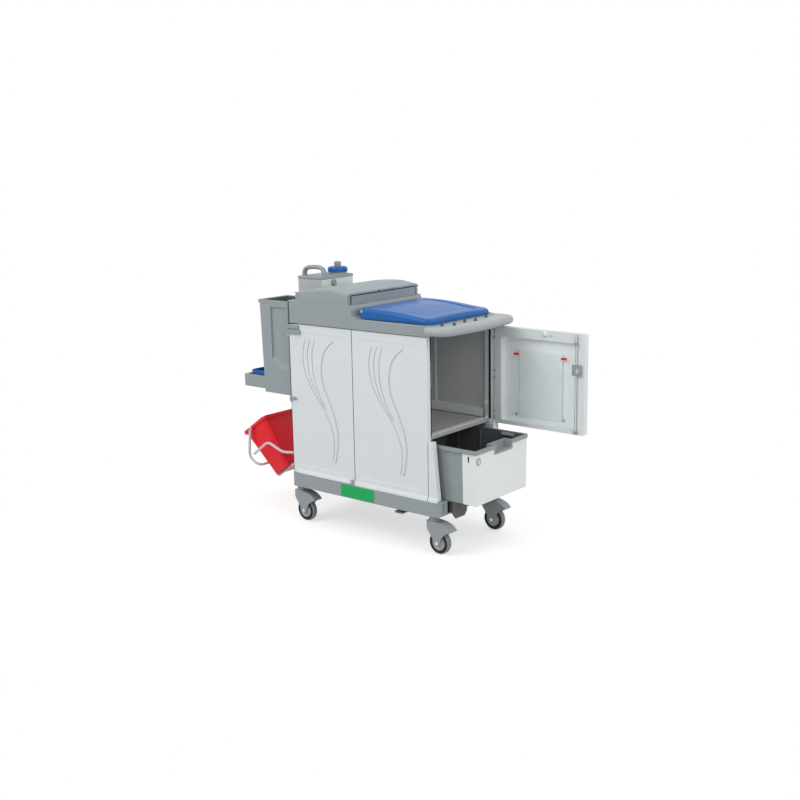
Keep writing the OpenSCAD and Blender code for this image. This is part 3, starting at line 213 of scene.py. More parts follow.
def handling_marks_group():
    """Thin drag scratches and rubbed spots from use, as two masks."""
    tree, ins, outs = group_nodes("handling marks", [("Amount", 0.4)], ["Scratch", "Rub"])
    masks = []
    for stretch in ((14.0, 14.0, 420.0), (380.0, 30.0, 18.0)):
        masks.append(ramp_node(tree, noise_node(tree, object_vector(tree, stretch), 1.0, 2.0), 0.70, 0.78))
    patch = ramp_node(tree, noise_node(tree, object_vector(tree), 9.0, 3.0), 0.52, 0.66)
    scratch = math_node(tree, "MULTIPLY", math_node(tree, "MAXIMUM", *masks), patch)
    tree.links.new(math_node(tree, "MULTIPLY", scratch, ins.outputs["Amount"]), outs.inputs["Scratch"])
    rub = ramp_node(tree, noise_node(tree, object_vector(tree), 38.0, 5.0), 0.56, 0.72)
    tree.links.new(math_node(tree, "MULTIPLY", rub, ins.outputs["Amount"]), outs.inputs["Rub"])
    return tree


def floor_dust_group():
    """Dust that thickens towards the floor, broken up by noise."""
    tree, ins, outs = group_nodes("floor dust", [("Top", 0.3), ("Amount", 0.35)], ["Dust"])
    split = tree.nodes.new("ShaderNodeSeparateXYZ")
    vector = object_vector(tree)
    tree.links.new(vector, split.inputs[0])
    fall = ramp_node(tree, split.outputs["Z"], ins.outputs["Top"], 0.0)
    speck = ramp_node(tree, noise_node(tree, vector, 60.0, 6.0, 0.65), 0.42, 0.72)
    tree.links.new(math_node(tree, "MULTIPLY", math_node(tree, "MULTIPLY", fall, speck),
                             ins.outputs["Amount"]),
                   outs.inputs["Dust"])
    return tree


def mix_colour(tree, kind, factor, a, b):
    """A colour mix; each value is a socket or a constant. Returns its output."""
    node = tree.nodes.new("ShaderNodeMix")
    node.data_type, node.blend_type = "RGBA", kind
    for socket, value in ((node.inputs[0], factor), (node.inputs[6], a), (node.inputs[7], b)):
        feed(tree, socket, value)
    return node.outputs[2]


GROUPS, MATERIALS = {}, {}
DUST_COLOUR = (0.42, 0.40, 0.37, 1.0)
RUB_ROUGHNESS, GRAIN_HEIGHT, GROOVE_SHADE = 0.18, 0.0006, 0.36


def principled(material):
    """The main shader node of a material."""
    return next(n for n in material.node_tree.nodes if n.type == "BSDF_PRINCIPLED")


def shared_group(tree, kind, values):
    """A node of one of the shared groups, with its input values."""
    node = tree.nodes.new("ShaderNodeGroup")
    node.node_tree = GROUPS[kind]
    for label, value in values.items():
        node.inputs[label].default_value = value
    return node


def moulded(name, rgb, rough, spread, tone, grain, bump, marks, dust=0.0, spec=0.5):
    """A moulded plastic: tone, grain, handling marks and dust, each with its own values."""
    material = bpy.data.materials.new(name)
    material.use_nodes = True
    tree, shader = material.node_tree, principled(material)
    shader.inputs["Specular IOR Level"].default_value = spec
    base = (*rgb, 1.0)
    material.diffuse_color = base
    body = shared_group(tree, "grain", {"Grain Scale": grain, "Tone Spread": tone, "Roughness": rough,
                                        "Roughness Spread": spread})
    wear = shared_group(tree, "marks", {"Amount": marks})
    toned = mix_colour(tree, "MULTIPLY", 1.0, base, body.outputs["Tone"])
    lift = tuple(min(1.0, 0.72 * c + 0.16) for c in rgb) + (1.0,)
    worn = mix_colour(tree, "MIX", wear.outputs["Scratch"], toned, lift)
    if dust:
        film = shared_group(tree, "dust", {"Amount": dust})
        worn = mix_colour(tree, "MIX", film.outputs["Dust"], worn, DUST_COLOUR)
    rubbed = math_node(tree, "MULTIPLY_ADD", wear.outputs["Rub"], RUB_ROUGHNESS, body.outputs["Roughness"])
    relief = tree.nodes.new("ShaderNodeBump")
    relief.inputs["Strength"].default_value = bump
    relief.inputs["Distance"].default_value = GRAIN_HEIGHT
    link(tree, (worn, shader.inputs["Base Color"]), (rubbed, shader.inputs["Roughness"]),
         (body.outputs["Grain"], relief.inputs["Height"]), (relief.outputs[0], shader.inputs["Normal"]))
    return material


def plated(name, rgb):
    """Plated metal with roughness drift and rubbed spots."""
    material = moulded(name, rgb, 0.3, 0.16, 0.04, 1400.0, 0.02, 0.25)
    principled(material).inputs["Metallic"].default_value = 1.0
    return material


def clear_sheet(name):
    """Thin clear plastic with faint drag marks."""
    material = moulded(name, (0.82, 0.91, 0.93), 0.16, 0.08, 0.02, 300.0, 0.01, 0.5)
    tree = material.node_tree
    haze = noise_node(tree, object_vector(tree), 14.0, 4.0)
    link(tree, (ramp_node(tree, haze, 0.3, 0.7, 0.13, 0.21), principled(material).inputs["Alpha"]))
    return material


# Of each moulded finish: name, roughness, its drift, tone spread, grain scale, bump, marks, dust and gloss.
FINISHES = {
    "panel": ("panel white", 0.42, 0.08, 0.03, 700.0, 0.03, 0.10),
    "mat": ("shelf mat", 0.75, 0.10, 0.08, 1600.0, 0.16, 0.30),
    "grey": ("frame grey", 0.50, 0.12, 0.06, 1100.0, 0.08, 0.22, 0.20),
    # Light grey of small parts, also a painted highlight on the deck lips.
    "light_grey_and_lip_highlight": ("light grey and lip highlight", 0.42, 0.10, 0.05, 1100.0, 0.05, 0.18),
    "inside": ("compartment grey", 0.62, 0.10, 0.07, 900.0, 0.06, 0.30),
    "rail": ("rail grey", 0.55, 0.10, 0.05, 900.0, 0.06, 0.25),
    # Painted shade inside the drawer and the bin.
    "tub": ("tub painted shade", 0.55, 0.12, 0.08, 900.0, 0.08, 0.30),
    "blue": ("lid blue", 0.34, 0.08, 0.04, 800.0, 0.03, 0.08, 0.0, 0.35),
    "red": ("bucket red", 0.36, 0.08, 0.04, 800.0, 0.03, 0.08, 0.0, 0.35),
    "green": ("label green", 0.36, 0.06, 0.04, 900.0, 0.02, 0.10, 0.0, 0.2),
    "tread": ("tread grey", 0.68, 0.12, 0.06, 1300.0, 0.10, 0.20, 0.30),
    # Black rubber of the wheels, also used as painted shade in gaps and holes.
    "black_and_gap_shade": ("black and gap shade", 0.62, 0.12, 0.06, 1300.0, 0.08, 0.12, 0.04, 0.2),
    # Painted light on the drawer's front cover.
    "front": ("drawer lit white", 0.42, 0.1, 0.03, 900.0, 0.04, 0.25),
    # Painted light on the end door's inner skin.
    "door_lit_white": ("door painted light", 0.42, 0.1, 0.03, 900.0, 0.04, 0.25),
    # Painted shade on the tank's near side.
    "sleeve": ("tank sleeve", 0.5, 0.1, 0.05, 1000.0, 0.05, 0.15),
    "knob": ("knob grey", 0.4, 0.1, 0.05, 1000.0, 0.05, 0.15),
    "grey_rim": ("rim grey", 0.48, 0.12, 0.05, 1100.0, 0.06, 0.2),
    "dark": ("dark trim", 0.55, 0.10, 0.08, 1000.0, 0.08, 0.30, 0.2),
    "wire": ("wire coat", 0.30, 0.10, 0.05, 900.0, 0.02, 0.20),
}


def make_materials():
    """Builds the shared groups and every finish once."""
    c = settings("finish")
    GROUPS.update(grain=moulded_grain_group(), marks=handling_marks_group(), dust=floor_dust_group())
    for key, (name, *values) in FINISHES.items():
        MATERIALS[key] = moulded(name, getattr(c, key), *values)
    # The groove material is the panel white darkened by GROOVE_SHADE: painted shade in the flowing lines and
    # the jamb seam.
    shade = [GROOVE_SHADE * v for v in c.panel]
    MATERIALS.update(groove=moulded("panel groove painted shade", shade, 0.55, 0.08, 0.05, 700.0, 0.03, 0.0),
                     hub=moulded("hub grey", c.light_grey_and_lip_highlight, 0.5, 0.1, 0.05, 1100.0, 0.06, 0.15, 0.15),
                     steel=plated("plated steel", c.steel), clear=clear_sheet("clear sheet"))


def tidy_mesh(mesh, angle=38.0):
    """Smooth shading with hard edges over an angle, in degrees."""
    mesh.shade_smooth()
    mesh.set_sharp_from_angle(angle=math.radians(angle))


def add_object(name, mesh):
    """Links a mesh to the scene."""
    obj = bpy.data.objects.new(name, mesh)
    bpy.context.scene.collection.objects.link(obj)
    return obj


def mesh_from(bm, name, materials, angle=38.0, outward=True):
    """Turns a bmesh into a shaded mesh with materials."""
    bmesh.ops.remove_doubles(bm, verts=bm.verts, dist=1e-6)
    if outward:
        bmesh.ops.recalc_face_normals(bm, faces=bm.faces)
    mesh = bpy.data.meshes.new(name)
    bm.to_mesh(mesh)
    bm.free()
    for key in materials:
        mesh.materials.append(MATERIALS[key])
    tidy_mesh(mesh, angle)
    return mesh


def baked(obj):
    """The object's mesh with its modifiers applied, on a fresh object of the same name."""
    name = obj.name
    depsgraph = bpy.context.evaluated_depsgraph_get()
    mesh = bpy.data.meshes.new_from_object(obj.evaluated_get(depsgraph), depsgraph=depsgraph)
    old = obj.data
    bpy.data.objects.remove(obj)
    bpy.data.meshes.remove(old)
    mesh.name = name
    return add_object(name, mesh)


def settle(obj, node, *replaced):
    """Rides the piece on the node's body and hides the replaced nodes."""
    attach(obj, BODY_OF[node])
    if replaced:
        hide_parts(*replaced)
    return obj


def piece(bm, name, materials, node, *replaced, angle=38.0):
    """Turns a bmesh into a piece that rides the node's body."""
    return settle(add_object(name, mesh_from(bm, name, materials, angle)), node, *replaced)


def cad_bmesh(node):
    """A merged copy of a CAD node, with its flat faces joined."""
    bm = bmesh.new()
    bm.from_mesh(frame["nodes"][node].data)
    bmesh.ops.remove_doubles(bm, verts=bm.verts, dist=2e-6)
    bmesh.ops.dissolve_limit(bm, angle_limit=math.radians(0.6), verts=bm.verts, edges=bm.edges)
    return bm


BEVEL_ANGLE = math.radians(32.0)


def bevelled(obj, radius, segments=3):
    """Rounds the hard edges of an object and bakes the result."""
    bevel = obj.modifiers.new("round", "BEVEL")
    bevel.width, bevel.segments, bevel.limit_method = radius, segments, "ANGLE"
    bevel.angle_limit = BEVEL_ANGLE
    bevel.use_clamp_overlap = True
    bevel.miter_outer = "MITER_ARC"
    weighted = obj.modifiers.new("flat faces", "WEIGHTED_NORMAL")
    weighted.keep_sharp = True
    return baked(obj)


def two_tone(node, materials, second, radius, segments=3):
    """A rounded copy of a CAD node; second(normal, middle in mm) tells which faces take the second finish."""
    bm = cad_bmesh(node)
    for face in bm.faces:
        face.material_index = int(second(face.normal, face.calc_center_median() / MM))
    mesh = mesh_from(bm, "moulded_" + node, materials, outward=False)
    return settle(bevelled(add_object(mesh.name, mesh), radius, segments), node, node)


def rounded(node, material, radius, segments=3):
    """A copy of a CAD node with rounded edges, in its place."""
    return two_tone(node, [material], lambda normal, middle: False, radius, segments)


def paint(node, material):
    """Gives a CAD node that stays its finish."""
    data = frame["nodes"][node].data
    data.materials.clear()
    data.materials.append(MATERIALS[material])


def join_rows(bm, a, b, material=0, wrap=True):
    """A band of faces between two rows of vertices; wrap closes it round."""
    count = len(a)
    for i in range(count if wrap else count - 1):
        n = (i + 1) % count
        bm.faces.new((a[i], a[n], b[n], b[i])).material_index = material


def ring_sweep(bm, rings):
    """Joins rings of equal count into a capped skin."""
    rows = [[bm.verts.new(p) for p in ring] for ring in rings]
    for a, b in zip(rows, rows[1:]):
        join_rows(bm, a, b)
    for row in (rows[0][::-1], rows[-1]):
        bm.faces.new(row)


def tube_rings(points, radius, sides):
    """Circles along a path, kept from twisting."""
    side = None
    rings = []
    for i, p in enumerate(points):
        ahead = (points[min(i + 1, len(points) - 1)] - points[max(i - 1, 0)]).normalized()
        if side is None:
            side = ahead.orthogonal().normalized()
        side = (side - ahead * side.dot(ahead)).normalized()
        up = ahead.cross(side)
        turn = [2 * math.pi * k / sides for k in range(sides)]
        rings.append([p + (side * math.cos(a) + up * math.sin(a)) * radius for a in turn])
    return rings


def round_path(points, radius, steps):
    """A path with its corners rounded by arcs of about that radius."""
    path = [points[0]]
    for a, b, c in zip(points, points[1:], points[2:]):
        back, on = a - b, c - b
        reach = min(radius, 0.45 * back.length, 0.45 * on.length)
        p, q = b + back.normalized() * reach, b + on.normalized() * reach
        path += [p.lerp(b, t).lerp(b.lerp(q, t), t) for t in [k / steps for k in range(steps + 1)]]
    return path + [points[-1]]


def lathe(bm, profile, centre, axis="Y", sides=48, materials=None, closed=False):
    """Turns (radius, along) points, in mm, round an axis through the centre; one material per span."""
    centre = Vector(centre)
    rows = []
    for radius, along in profile:
        ring = []
        for k in range(sides):
            a = 2 * math.pi * k / sides
            u, v = radius * math.cos(a), radius * math.sin(a)
            local = {"X": (along, u, v), "Y": (u, along, v), "Z": (u, v, along)}[axis]
            ring.append(bm.verts.new((centre + Vector(local)) * MM))
        rows.append(ring)
    for i, (a, b) in enumerate(zip(rows, rows[1:] + (rows[:1] if closed else []))):
        join_rows(bm, a, b, materials[i] if materials else 0)
    if not closed:
        for row in (rows[0], rows[-1]):
            bm.faces.new(row)


def turned(name, profile, centre, axis, sides, materials, node, *replaced, parts=None, angle=38.0):
    """A closed lathe form as a piece that rides the node's body."""
    bm = bmesh.new()
    lathe(bm, profile, centre, axis, sides, parts, closed=True)
    return piece(bm, name, materials, node, *replaced, angle=angle)


def ease(value, low, high):
    """Smooth step from 0 at low to 1 at high."""
    t = min(1.0, max(0.0, (value - low) / (high - low)))
    return t * t * (3 - 2 * t)


def through(points, z):
    """Smooth curve through (place, value) points; the value at z."""
    points = sorted(points)
    if z <= points[0][0]:
        return points[0][1]
    if z >= points[-1][0]:
        return points[-1][1]
    i = max(k for k in range(len(points) - 1) if points[k][0] <= z)
    slope = []
    for k in (i, i + 1):
        a, b = points[max(k - 1, 0)], points[min(k + 1, len(points) - 1)]
        slope.append((b[1] - a[1]) / (b[0] - a[0]))
    (z0, x0), (z1, x1) = points[i], points[i + 1]
    t, run = (z - z0) / (z1 - z0), z1 - z0
    return ((1 + 2 * t) * (1 - t) ** 2 * x0 + t * (1 - t) ** 2 * run * slope[0]
            + t * t * (3 - 2 * t) * x1 + t * t * (t - 1) * run * slope[1])


FLOW_BOLD = [(846, 220), (818, 183), (785, 154), (747, 140), (710, 135), (668, 138), (627, 150), (586, 170),
             (546, 190),
             (506, 206), (466, 217), (436, 222), (394, 221), (339, 212), (284, 199)]
FLOW_FINE = [(846, 52), (809, 37), (769, 29), (727, 31), (680, 43), (640, 64), (591, 96), (550, 132),
             (512, 160),
             (466, 184), (420, 197), (360, 198), (284, 184)]
# Of each flowing line: its points, shift, width and share of the full depth.
FLOW_LINES = [(FLOW_BOLD, 0.0, 6.6, 1.0)] + [(FLOW_FINE, shift, 2.6, 0.6) for shift in (0.0, 26.0, 54.0)]
FLOW_LOW, FLOW_HIGH, SHIFTED_LOW = 296.0, 846.0, 520.0
FLOW_LEFT, FLOW_RIGHT = 0.45, 1.25
FIELD_RAMP, FIELD_CORNER = 9.0, 26.0


def field_inset(x, z, box):
    """0 outside a rounded rectangle, 1 inside, with a soft ramp."""
    dx = max(box[0] + FIELD_CORNER - x, x - box[1] + FIELD_CORNER, 0.0)
    dz = max(box[2] + FIELD_CORNER - z, z - box[3] + FIELD_CORNER, 0.0)
    return ease(FIELD_CORNER - math.hypot(dx, dz), 0.0, FIELD_RAMP)


def flow_spread(z):
    """How far the fine lines stand apart, narrowing towards the foot."""
    return 0.2 + 0.8 * ease(z, 470.0, 760.0)


def flow_depth(x, z, start):
    """Depth share of the flowing lines at a place on a panel that starts at x = start."""
    depth = 0.0
    for points, shift, width, share in FLOW_LINES:
        off = x - start - through(points, z) - shift * flow_spread(z)
        across = off / (width * (FLOW_RIGHT if off > 0 else FLOW_LEFT))
        if abs(across) < 1:
            low = SHIFTED_LOW if shift > 0 else FLOW_LOW
            ends = ease(z, low, low + 30) * (1 - ease(z, FLOW_HIGH - 14, FLOW_HIGH))
            depth = max(depth, share * ends * (1 - across * across) ** 2)
    return depth


def along_edge(points, z):
    """Straight lines through rising (z, x) points; x at that z."""
    for (z0, x0), (z1, x1) in zip(points, points[1:]):
        if z <= z1:
            return x0 + (x1 - x0) * max(0.0, z - z0) / (z1 - z0)
    return points[-1][1]


JAMB_SEAM, JAMB_TOP = 364.0, 474.0


def jamb_seam(x, z):
    """Depth share of the upright seam beside the drawer bay."""
    return 1 - ease(abs(x - JAMB_SEAM), 0.5, 1.6) if z < JAMB_TOP else 0.0


def panel_columns(starts, z, x0, x1, count):
    """Places across a row: even steps, with close ones round every flowing line."""
    places = [x0 + (x1 - x0) * k / count for k in range(count + 1)]
    places += [x0 + 0.7, x0 + 1.6, x0 + 3.0, x1 - 3.0, x1 - 1.6, x1 - 0.7]
    places += [min(JAMB_SEAM + k, x1 - 4.0 + 0.1 * k) for k in (-1.6, -0.7, 0.7, 1.6)]
    for start in starts:
        for points, shift, width, _ in FLOW_LINES:
            middle = start + through(points, z) + shift * flow_spread(z)
            places += [middle + width * k for k in (-FLOW_LEFT, -0.25, -0.1, 0.0, 0.3, 0.6, 0.9, FLOW_RIGHT)]
    places.sort()
    for k in range(1, len(places)):
        places[k] = max(places[k], places[k - 1] + 0.02)
    return places


PANEL_LOW, PANEL_HIGH, PANEL_FACE, PANEL_THICK = 227.0, 900.0, 231.5, 4.0
# The last value is the depth share above which a panel face takes the painted groove shade.
FLARE_OUT, EDGE_FALL, EDGE_ROLL, GROOVE_SHADE_FROM = 6.5, 1.6, 2.2, 0.34


def relief_panel(name, node, sign, x_left, x_right, z_low, fields, starts, flare_x):
    """A moulded panel whose outer face carries the fields, the flowing lines and the flared foot."""
    detail = settings("detail")
    groove, field_deep = detail.groove / MM, detail.field / MM
    high = PANEL_HIGH
    rows_z = [z_low, z_low + 2, z_low + 5, high - 3, high - 1.2, high - 0.4, high]
    rows_z += [z_low + 9 + (high - z_low - 14) * k / 200 for k in range(200)] + [z for z, _ in x_right[:-1]]
    rows_z = sorted({round(z, 2) for z in rows_z if z_low <= z <= high})
    count = round((x_right[0][1] - x_left) / 9)
    bm = bmesh.new()
    front = []
    for z in rows_z:
        edge = along_edge(x_right, z)
        row = []
        for x in panel_columns(starts, z, x_left, edge, count):
            out = FLARE_OUT * (1 - ease(z, z_low + 4, z_low + 22)) * ease(x, flare_x[0], flare_x[0] + 12) \
                * (1 - ease(x, flare_x[1] - 12, flare_x[1]))
            out -= field_deep * max(field_inset(x, z, box) for box in fields)
            out -= groove * max(flow_depth(x, z, s) for s in starts) + groove * jamb_seam(x, z)
            rim = min(x - x_left, edge - x, z - z_low + 2, high - z)
            out -= EDGE_FALL * (1 - math.sqrt(max(0.0, 1 - (1 - min(1.0, rim / EDGE_ROLL)) ** 2)))
            row.append(bm.verts.new((x * MM, sign * (PANEL_FACE + out) * MM, z * MM)))
        front.append(row)
    # Faces deep in a flowing line or in the jamb seam take the groove material: painted shade.
    for a, b in zip(front, front[1:]):
        for i in range(len(a) - 1):
            face = bm.faces.new((a[i], a[i + 1], b[i + 1], b[i]))
            middle = face.calc_center_median() / MM
            depths = [flow_depth(middle.x, middle.z, s) for s in starts] + [jamb_seam(middle.x, middle.z)]
            face.material_index = max(depths) > GROOVE_SHADE_FROM
    inner = sign * (PANEL_FACE - PANEL_THICK) * MM
    back = [[bm.verts.new((row[i].co.x, inner, row[i].co.z)) for i in (0, -1)] for row in front]
    for k in range(len(front) - 1):
        bm.faces.new((front[k][0], front[k + 1][0], back[k + 1][0], back[k][0]))
        bm.faces.new((front[k][-1], back[k][1], back[k + 1][1], front[k + 1][-1]))
        bm.faces.new((back[k][0], back[k + 1][0], back[k + 1][1], back[k][1]))
    for row, ends in ((front[0], back[0]), (front[-1], back[-1])):
        bm.faces.new(row + [ends[1], ends[0]])
    return piece(bm, name, ["panel", "groove"], node, node, angle=50.0)


BAY_EDGE = [(227.0, 410.0), (247.0, 410.0), (474.0, 388.0), (474.02, 364.0), (900.0, 364.0)]
FIELD_LEFT, FIELD_RIGHT = (-366.0, -68.0, 262.0, 868.0), (-8.0, 322.0, 262.0, 868.0)
FLOW_AT_LEFT, FLOW_AT_RIGHT = -352.0, 28.0
DOOR_LEFT, DOOR_RIGHT, DOOR_LOW = -399.5, -35.5, 228.5


class CART_OT_panels(bpy.types.Operator):
    """Moulded side panels with a shallow field and flowing lines"""
    bl_idname = "cart.panels"
    bl_label = "Side panels"

    def execute(self, context):
        relief_panel("panel_near", "front_panel", -1, -34.0, BAY_EDGE, PANEL_LOW, [FIELD_RIGHT],
                     [FLOW_AT_RIGHT],
                     (-60.0, 440.0))
        relief_panel("panel_side_door", "side_door", -1, DOOR_LEFT,
                     [(DOOR_LOW, DOOR_RIGHT), (PANEL_HIGH, DOOR_RIGHT)],
                     DOOR_LOW, [FIELD_LEFT], [FLOW_AT_LEFT], (-385.5, -59.5))
        relief_panel("panel_back", "back_panel", 1, DOOR_LEFT, BAY_EDGE, PANEL_LOW, [FIELD_LEFT, FIELD_RIGHT],
                     [FLOW_AT_RIGHT, FLOW_AT_LEFT], (-420.0, 440.0))
        # A black strip behind the seam between the side door and the near panel: painted shade in the gap.
        seam = [((-35.3, -32.6), (-231.7, -229.0), (229.0, 899.0))]
        slabs("panel_seam_shade", "front_panel", "black_and_gap_shade", seam, 0.0004)
        return {"FINISHED"}


class CART_OT_finishes(bpy.types.Operator):
    """The shared shader groups and every finish"""
    bl_idname = "cart.finishes"
    bl_label = "Finishes"

    def execute(self, context):
        make_materials()
        return {"FINISHED"}


class CART_OT_base(bpy.types.Operator):
    """Base tray with its label plate, drawer runners and kingpins"""
    bl_idname = "cart.base"
    bl_label = "Base tray"

    def execute(self, context):
        rounded("base_tray", "grey", 0.0035)
        rounded("label_plate", "green", 0.0006, 2)
        rounded("drawer_runners", "dark", 0.0015)
        lever = [((187.0, 229.0), (-237.0, -197.0), (148.0, 156.0)),
                 ((200.0, 216.0), (-226.0, -206.0), (155.0, 166.0))]
        slabs("foot_lever", "base_tray", "dark", lever, 0.002)
        # Black strips on the end face of the base: painted shade in the openings of the drawer runner
        # channels.
        slots = mirrored((415.4, 416.5), (157.0, 172.0), (172.0, 218.0))
        slots += mirrored((415.4, 416.5), (200.0, 204.0), (176.0, 218.0))
        slabs("runner_slot_shade", "base_tray", "black_and_gap_shade", slots, 0.0003)
        paint("caster_stems", "steel")
        return {"FINISHED"}


BLOCK_FACES = (0, 2, 3, 1), (4, 5, 7, 6), (0, 1, 5, 4), (2, 6, 7, 3), (0, 4, 6, 2), (1, 3, 7, 5)


def slab(bm, x, y, z, lean=0.0):
    """A block between two corners, in mm; lean shifts its top in y."""
    places = [(x[i], y[j] + (lean if k else 0.0), z[k]) for k in (0, 1) for j in (0, 1) for i in (0, 1)]
    verts = [bm.verts.new(Vector(p) * MM) for p in places]
    for ring in BLOCK_FACES:
        bm.faces.new([verts[k] for k in ring])


def slabs(name, node, material, blocks, radius):
    """Blocks with rounded edges, joined into one piece; each block is x, y, z and optionally a lean."""
    bm = bmesh.new()
    for block in blocks:
        slab(bm, *block)
    obj = add_object(name, mesh_from(bm, name, [material]))
    return settle(bevelled(obj, radius, 2), node)


def mirrored(x, y, z, lean=0.0):
    """A block and its copy across the plane y = 0."""
    return [(x, tuple(sorted((k * y[0], k * y[1]))), z, k * lean) for k in (-1, 1)]


def plate_rings(outline, ys):
    """An outline of (x, z) points, in mm, at each y."""
    return [[Vector((x, y, z)) * MM for x, z in outline] for y in ys]


def hinge_clips():
    """Both hinge clips of the side door, with barrels: a split pad above, a pointed tongue below."""
    bm = bmesh.new()
    for z0, z1 in ((557.0, 575.0), (853.0, 900.0)):
        barrel = [(2.55, z0), (4.0, z0), (4.1, z0 + 0.6), (4.1, z1 - 0.6), (4.0, z1), (2.55, z1)]
        lathe(bm, barrel, (-402.0, -235.0, 0.0), "Z", 28, closed=True)
    slab(bm, (-402.0, -338.0), (-239.0, -231.4), (879.5, 894.0))
    slab(bm, (-400.0, -331.0), (-239.5, -231.4), (855.0, 875.5))
    slab(bm, (-398.0, -340.0), (-234.6, -231.4), (875.0, 880.5))
    tongue = [(-402.0, 558.0), (-376.0, 560.5), (-360.0, 567.0), (-376.0, 573.0), (-402.0, 574.5)]
    ring_sweep(bm, plate_rings(tongue, (-231.4, -237.0)))
    obj = add_object("moulded_clips", mesh_from(bm, "moulded_clips", ["grey"]))
    return settle(bevelled(obj, 0.0016, 2), "side_door_clips", "side_door_clips")


class CART_OT_cabinet(bpy.types.Operator):
    """Posts, walls, shelves and jambs of the cabinet, and the fittings of the side door"""
    bl_idname = "cart.cabinet"
    bl_label = "Cabinet"

    def execute(self, context):
        fine = settings("detail").fine_edge
        for node, material in (("corner_posts", "panel"), ("end_panel", "panel"), ("partition", "inside"),
                               ("upper_shelf", "mat"), ("inner_shelf", "inside"), ("bay_jambs", "panel")):
            rounded(node, material, 0.0014)
        rounded("side_door_latch", "light_grey_and_lip_highlight", fine)
        hinge_clips()
        paint("side_door_pins", "steel")
        liners = mirrored((-32.0, 333.4), (226.2, 227.1), (490.2, 898.0))
        liners += [((-366.0, -38.0), (226.2, 227.1), (228.0, 898.0))]
        slabs("wall_liners", "back_panel", "inside", liners, 0.0003)
        slabs("wall_strips", "back_panel", "panel", mirrored((50.0, 60.0), (222.6, 226.4), (516.0, 898.0)),
              0.0016)
        rails = [((318.0, 347.5), (-207.0, 207.0), (489.6, 493.0))]
        rails += mirrored((-31.5, 318.0), (214.5, 226.0), (489.6, 530.0), 2.5)
        slabs("shelf_rails", "upper_shelf", "rail", rails, 0.0014)
        # Black lines along the foot of the shelf rails: painted shade where the rails meet the shelf.
        lines = [((311.0, 318.2), (-207.0, 207.0), (489.0, 490.7))]
        lines += mirrored((-31.5, 318.0), (207.0, 214.8), (489.0, 490.7))
        slabs("shelf_shade_lines", "upper_shelf", "black_and_gap_shade", lines, 0.0003)
        clips = [((346.0, 356.0), y, (491.0, 499.0)) for y in ((-206.0, -188.0), (186.0, 204.0))]
        clips += mirrored((335.5, 346.0), (200.5, 209.4), (553.0, 571.0))
        clips += mirrored((350.0, 356.0), (196.0, 202.0), (498.0, 508.0))
        slabs("shelf_clips", "upper_shelf", "panel", clips, 0.0012)
        # Black strips up the sides of the open bay: painted shade in the gaps there.
        seals = [((358.0, 365.8), (203.4, 209.3), (492.0, 896.0))]
        seals += [((361.0, 365.6), (-209.3, -205.2), z) for z in ((492.0, 690.0), (800.0, 896.0))]
        slabs("bay_gap_shade", "corner_posts", "black_and_gap_shade", seals, 0.0008)
        # A black strip in the gap at the hinge edge of the side door: painted shade.
        gap = [((-404.0, -399.9), (-229.0, -225.0), (232.0, 894.0))]
        slabs("door_edge_gap_shade", "corner_posts", "black_and_gap_shade", gap, 0.0004)
        covers = [((360.0, 367.2), (228.6, 231.4), (476.0, 897.0)),
                  ((364.2, 367.2), (209.5, 227.0), (476.0, 897.0)),
                  ((366.5, 376.5), (218.4, 226.2), (478.0, 896.0))]
        slabs("hinge_cover", "corner_posts", "panel", covers, 0.0008)
        return {"FINISHED"}


def spread_nodes(name, *inputs):
    """A Geometry Nodes tree that ends in painted copies on points; with its inputs and its spreader."""
    tree = bpy.data.node_groups.new(name, "GeometryNodeTree")
    for label, kind in (("Geometry", "Geometry"), ("Finish", "Material"), *inputs):
        tree.interface.new_socket(label, in_out="INPUT", socket_type="NodeSocket" + kind)
    tree.interface.new_socket("Geometry", in_out="OUTPUT", socket_type="NodeSocketGeometry")
    ins, outs = tree.nodes.new("NodeGroupInput"), tree.nodes.new("NodeGroupOutput")
    spread = tree.nodes.new("GeometryNodeInstanceOnPoints")
    real = tree.nodes.new("GeometryNodeRealizeInstances")
    finish = tree.nodes.new("GeometryNodeSetMaterial")
    link(tree, (spread.outputs[0], real.inputs[0]), (real.outputs[0], finish.inputs["Geometry"]),
         (ins.outputs["Finish"], finish.inputs["Material"]), (finish.outputs[0], outs.inputs[0]))
    return tree, ins, spread


def grown(obj, tree, values):
    """Bakes a Geometry Nodes tree on an object; values go to its inputs by name."""
    spread = obj.modifiers.new("spread", "NODES")
    spread.node_group = tree
    for item in tree.interface.items_tree:
        if item.item_type == "SOCKET" and item.in_out == "INPUT" and item.name in values:
            spread[item.identifier] = values[item.name]
    obj = baked(obj)
    tidy_mesh(obj.data)
    return obj


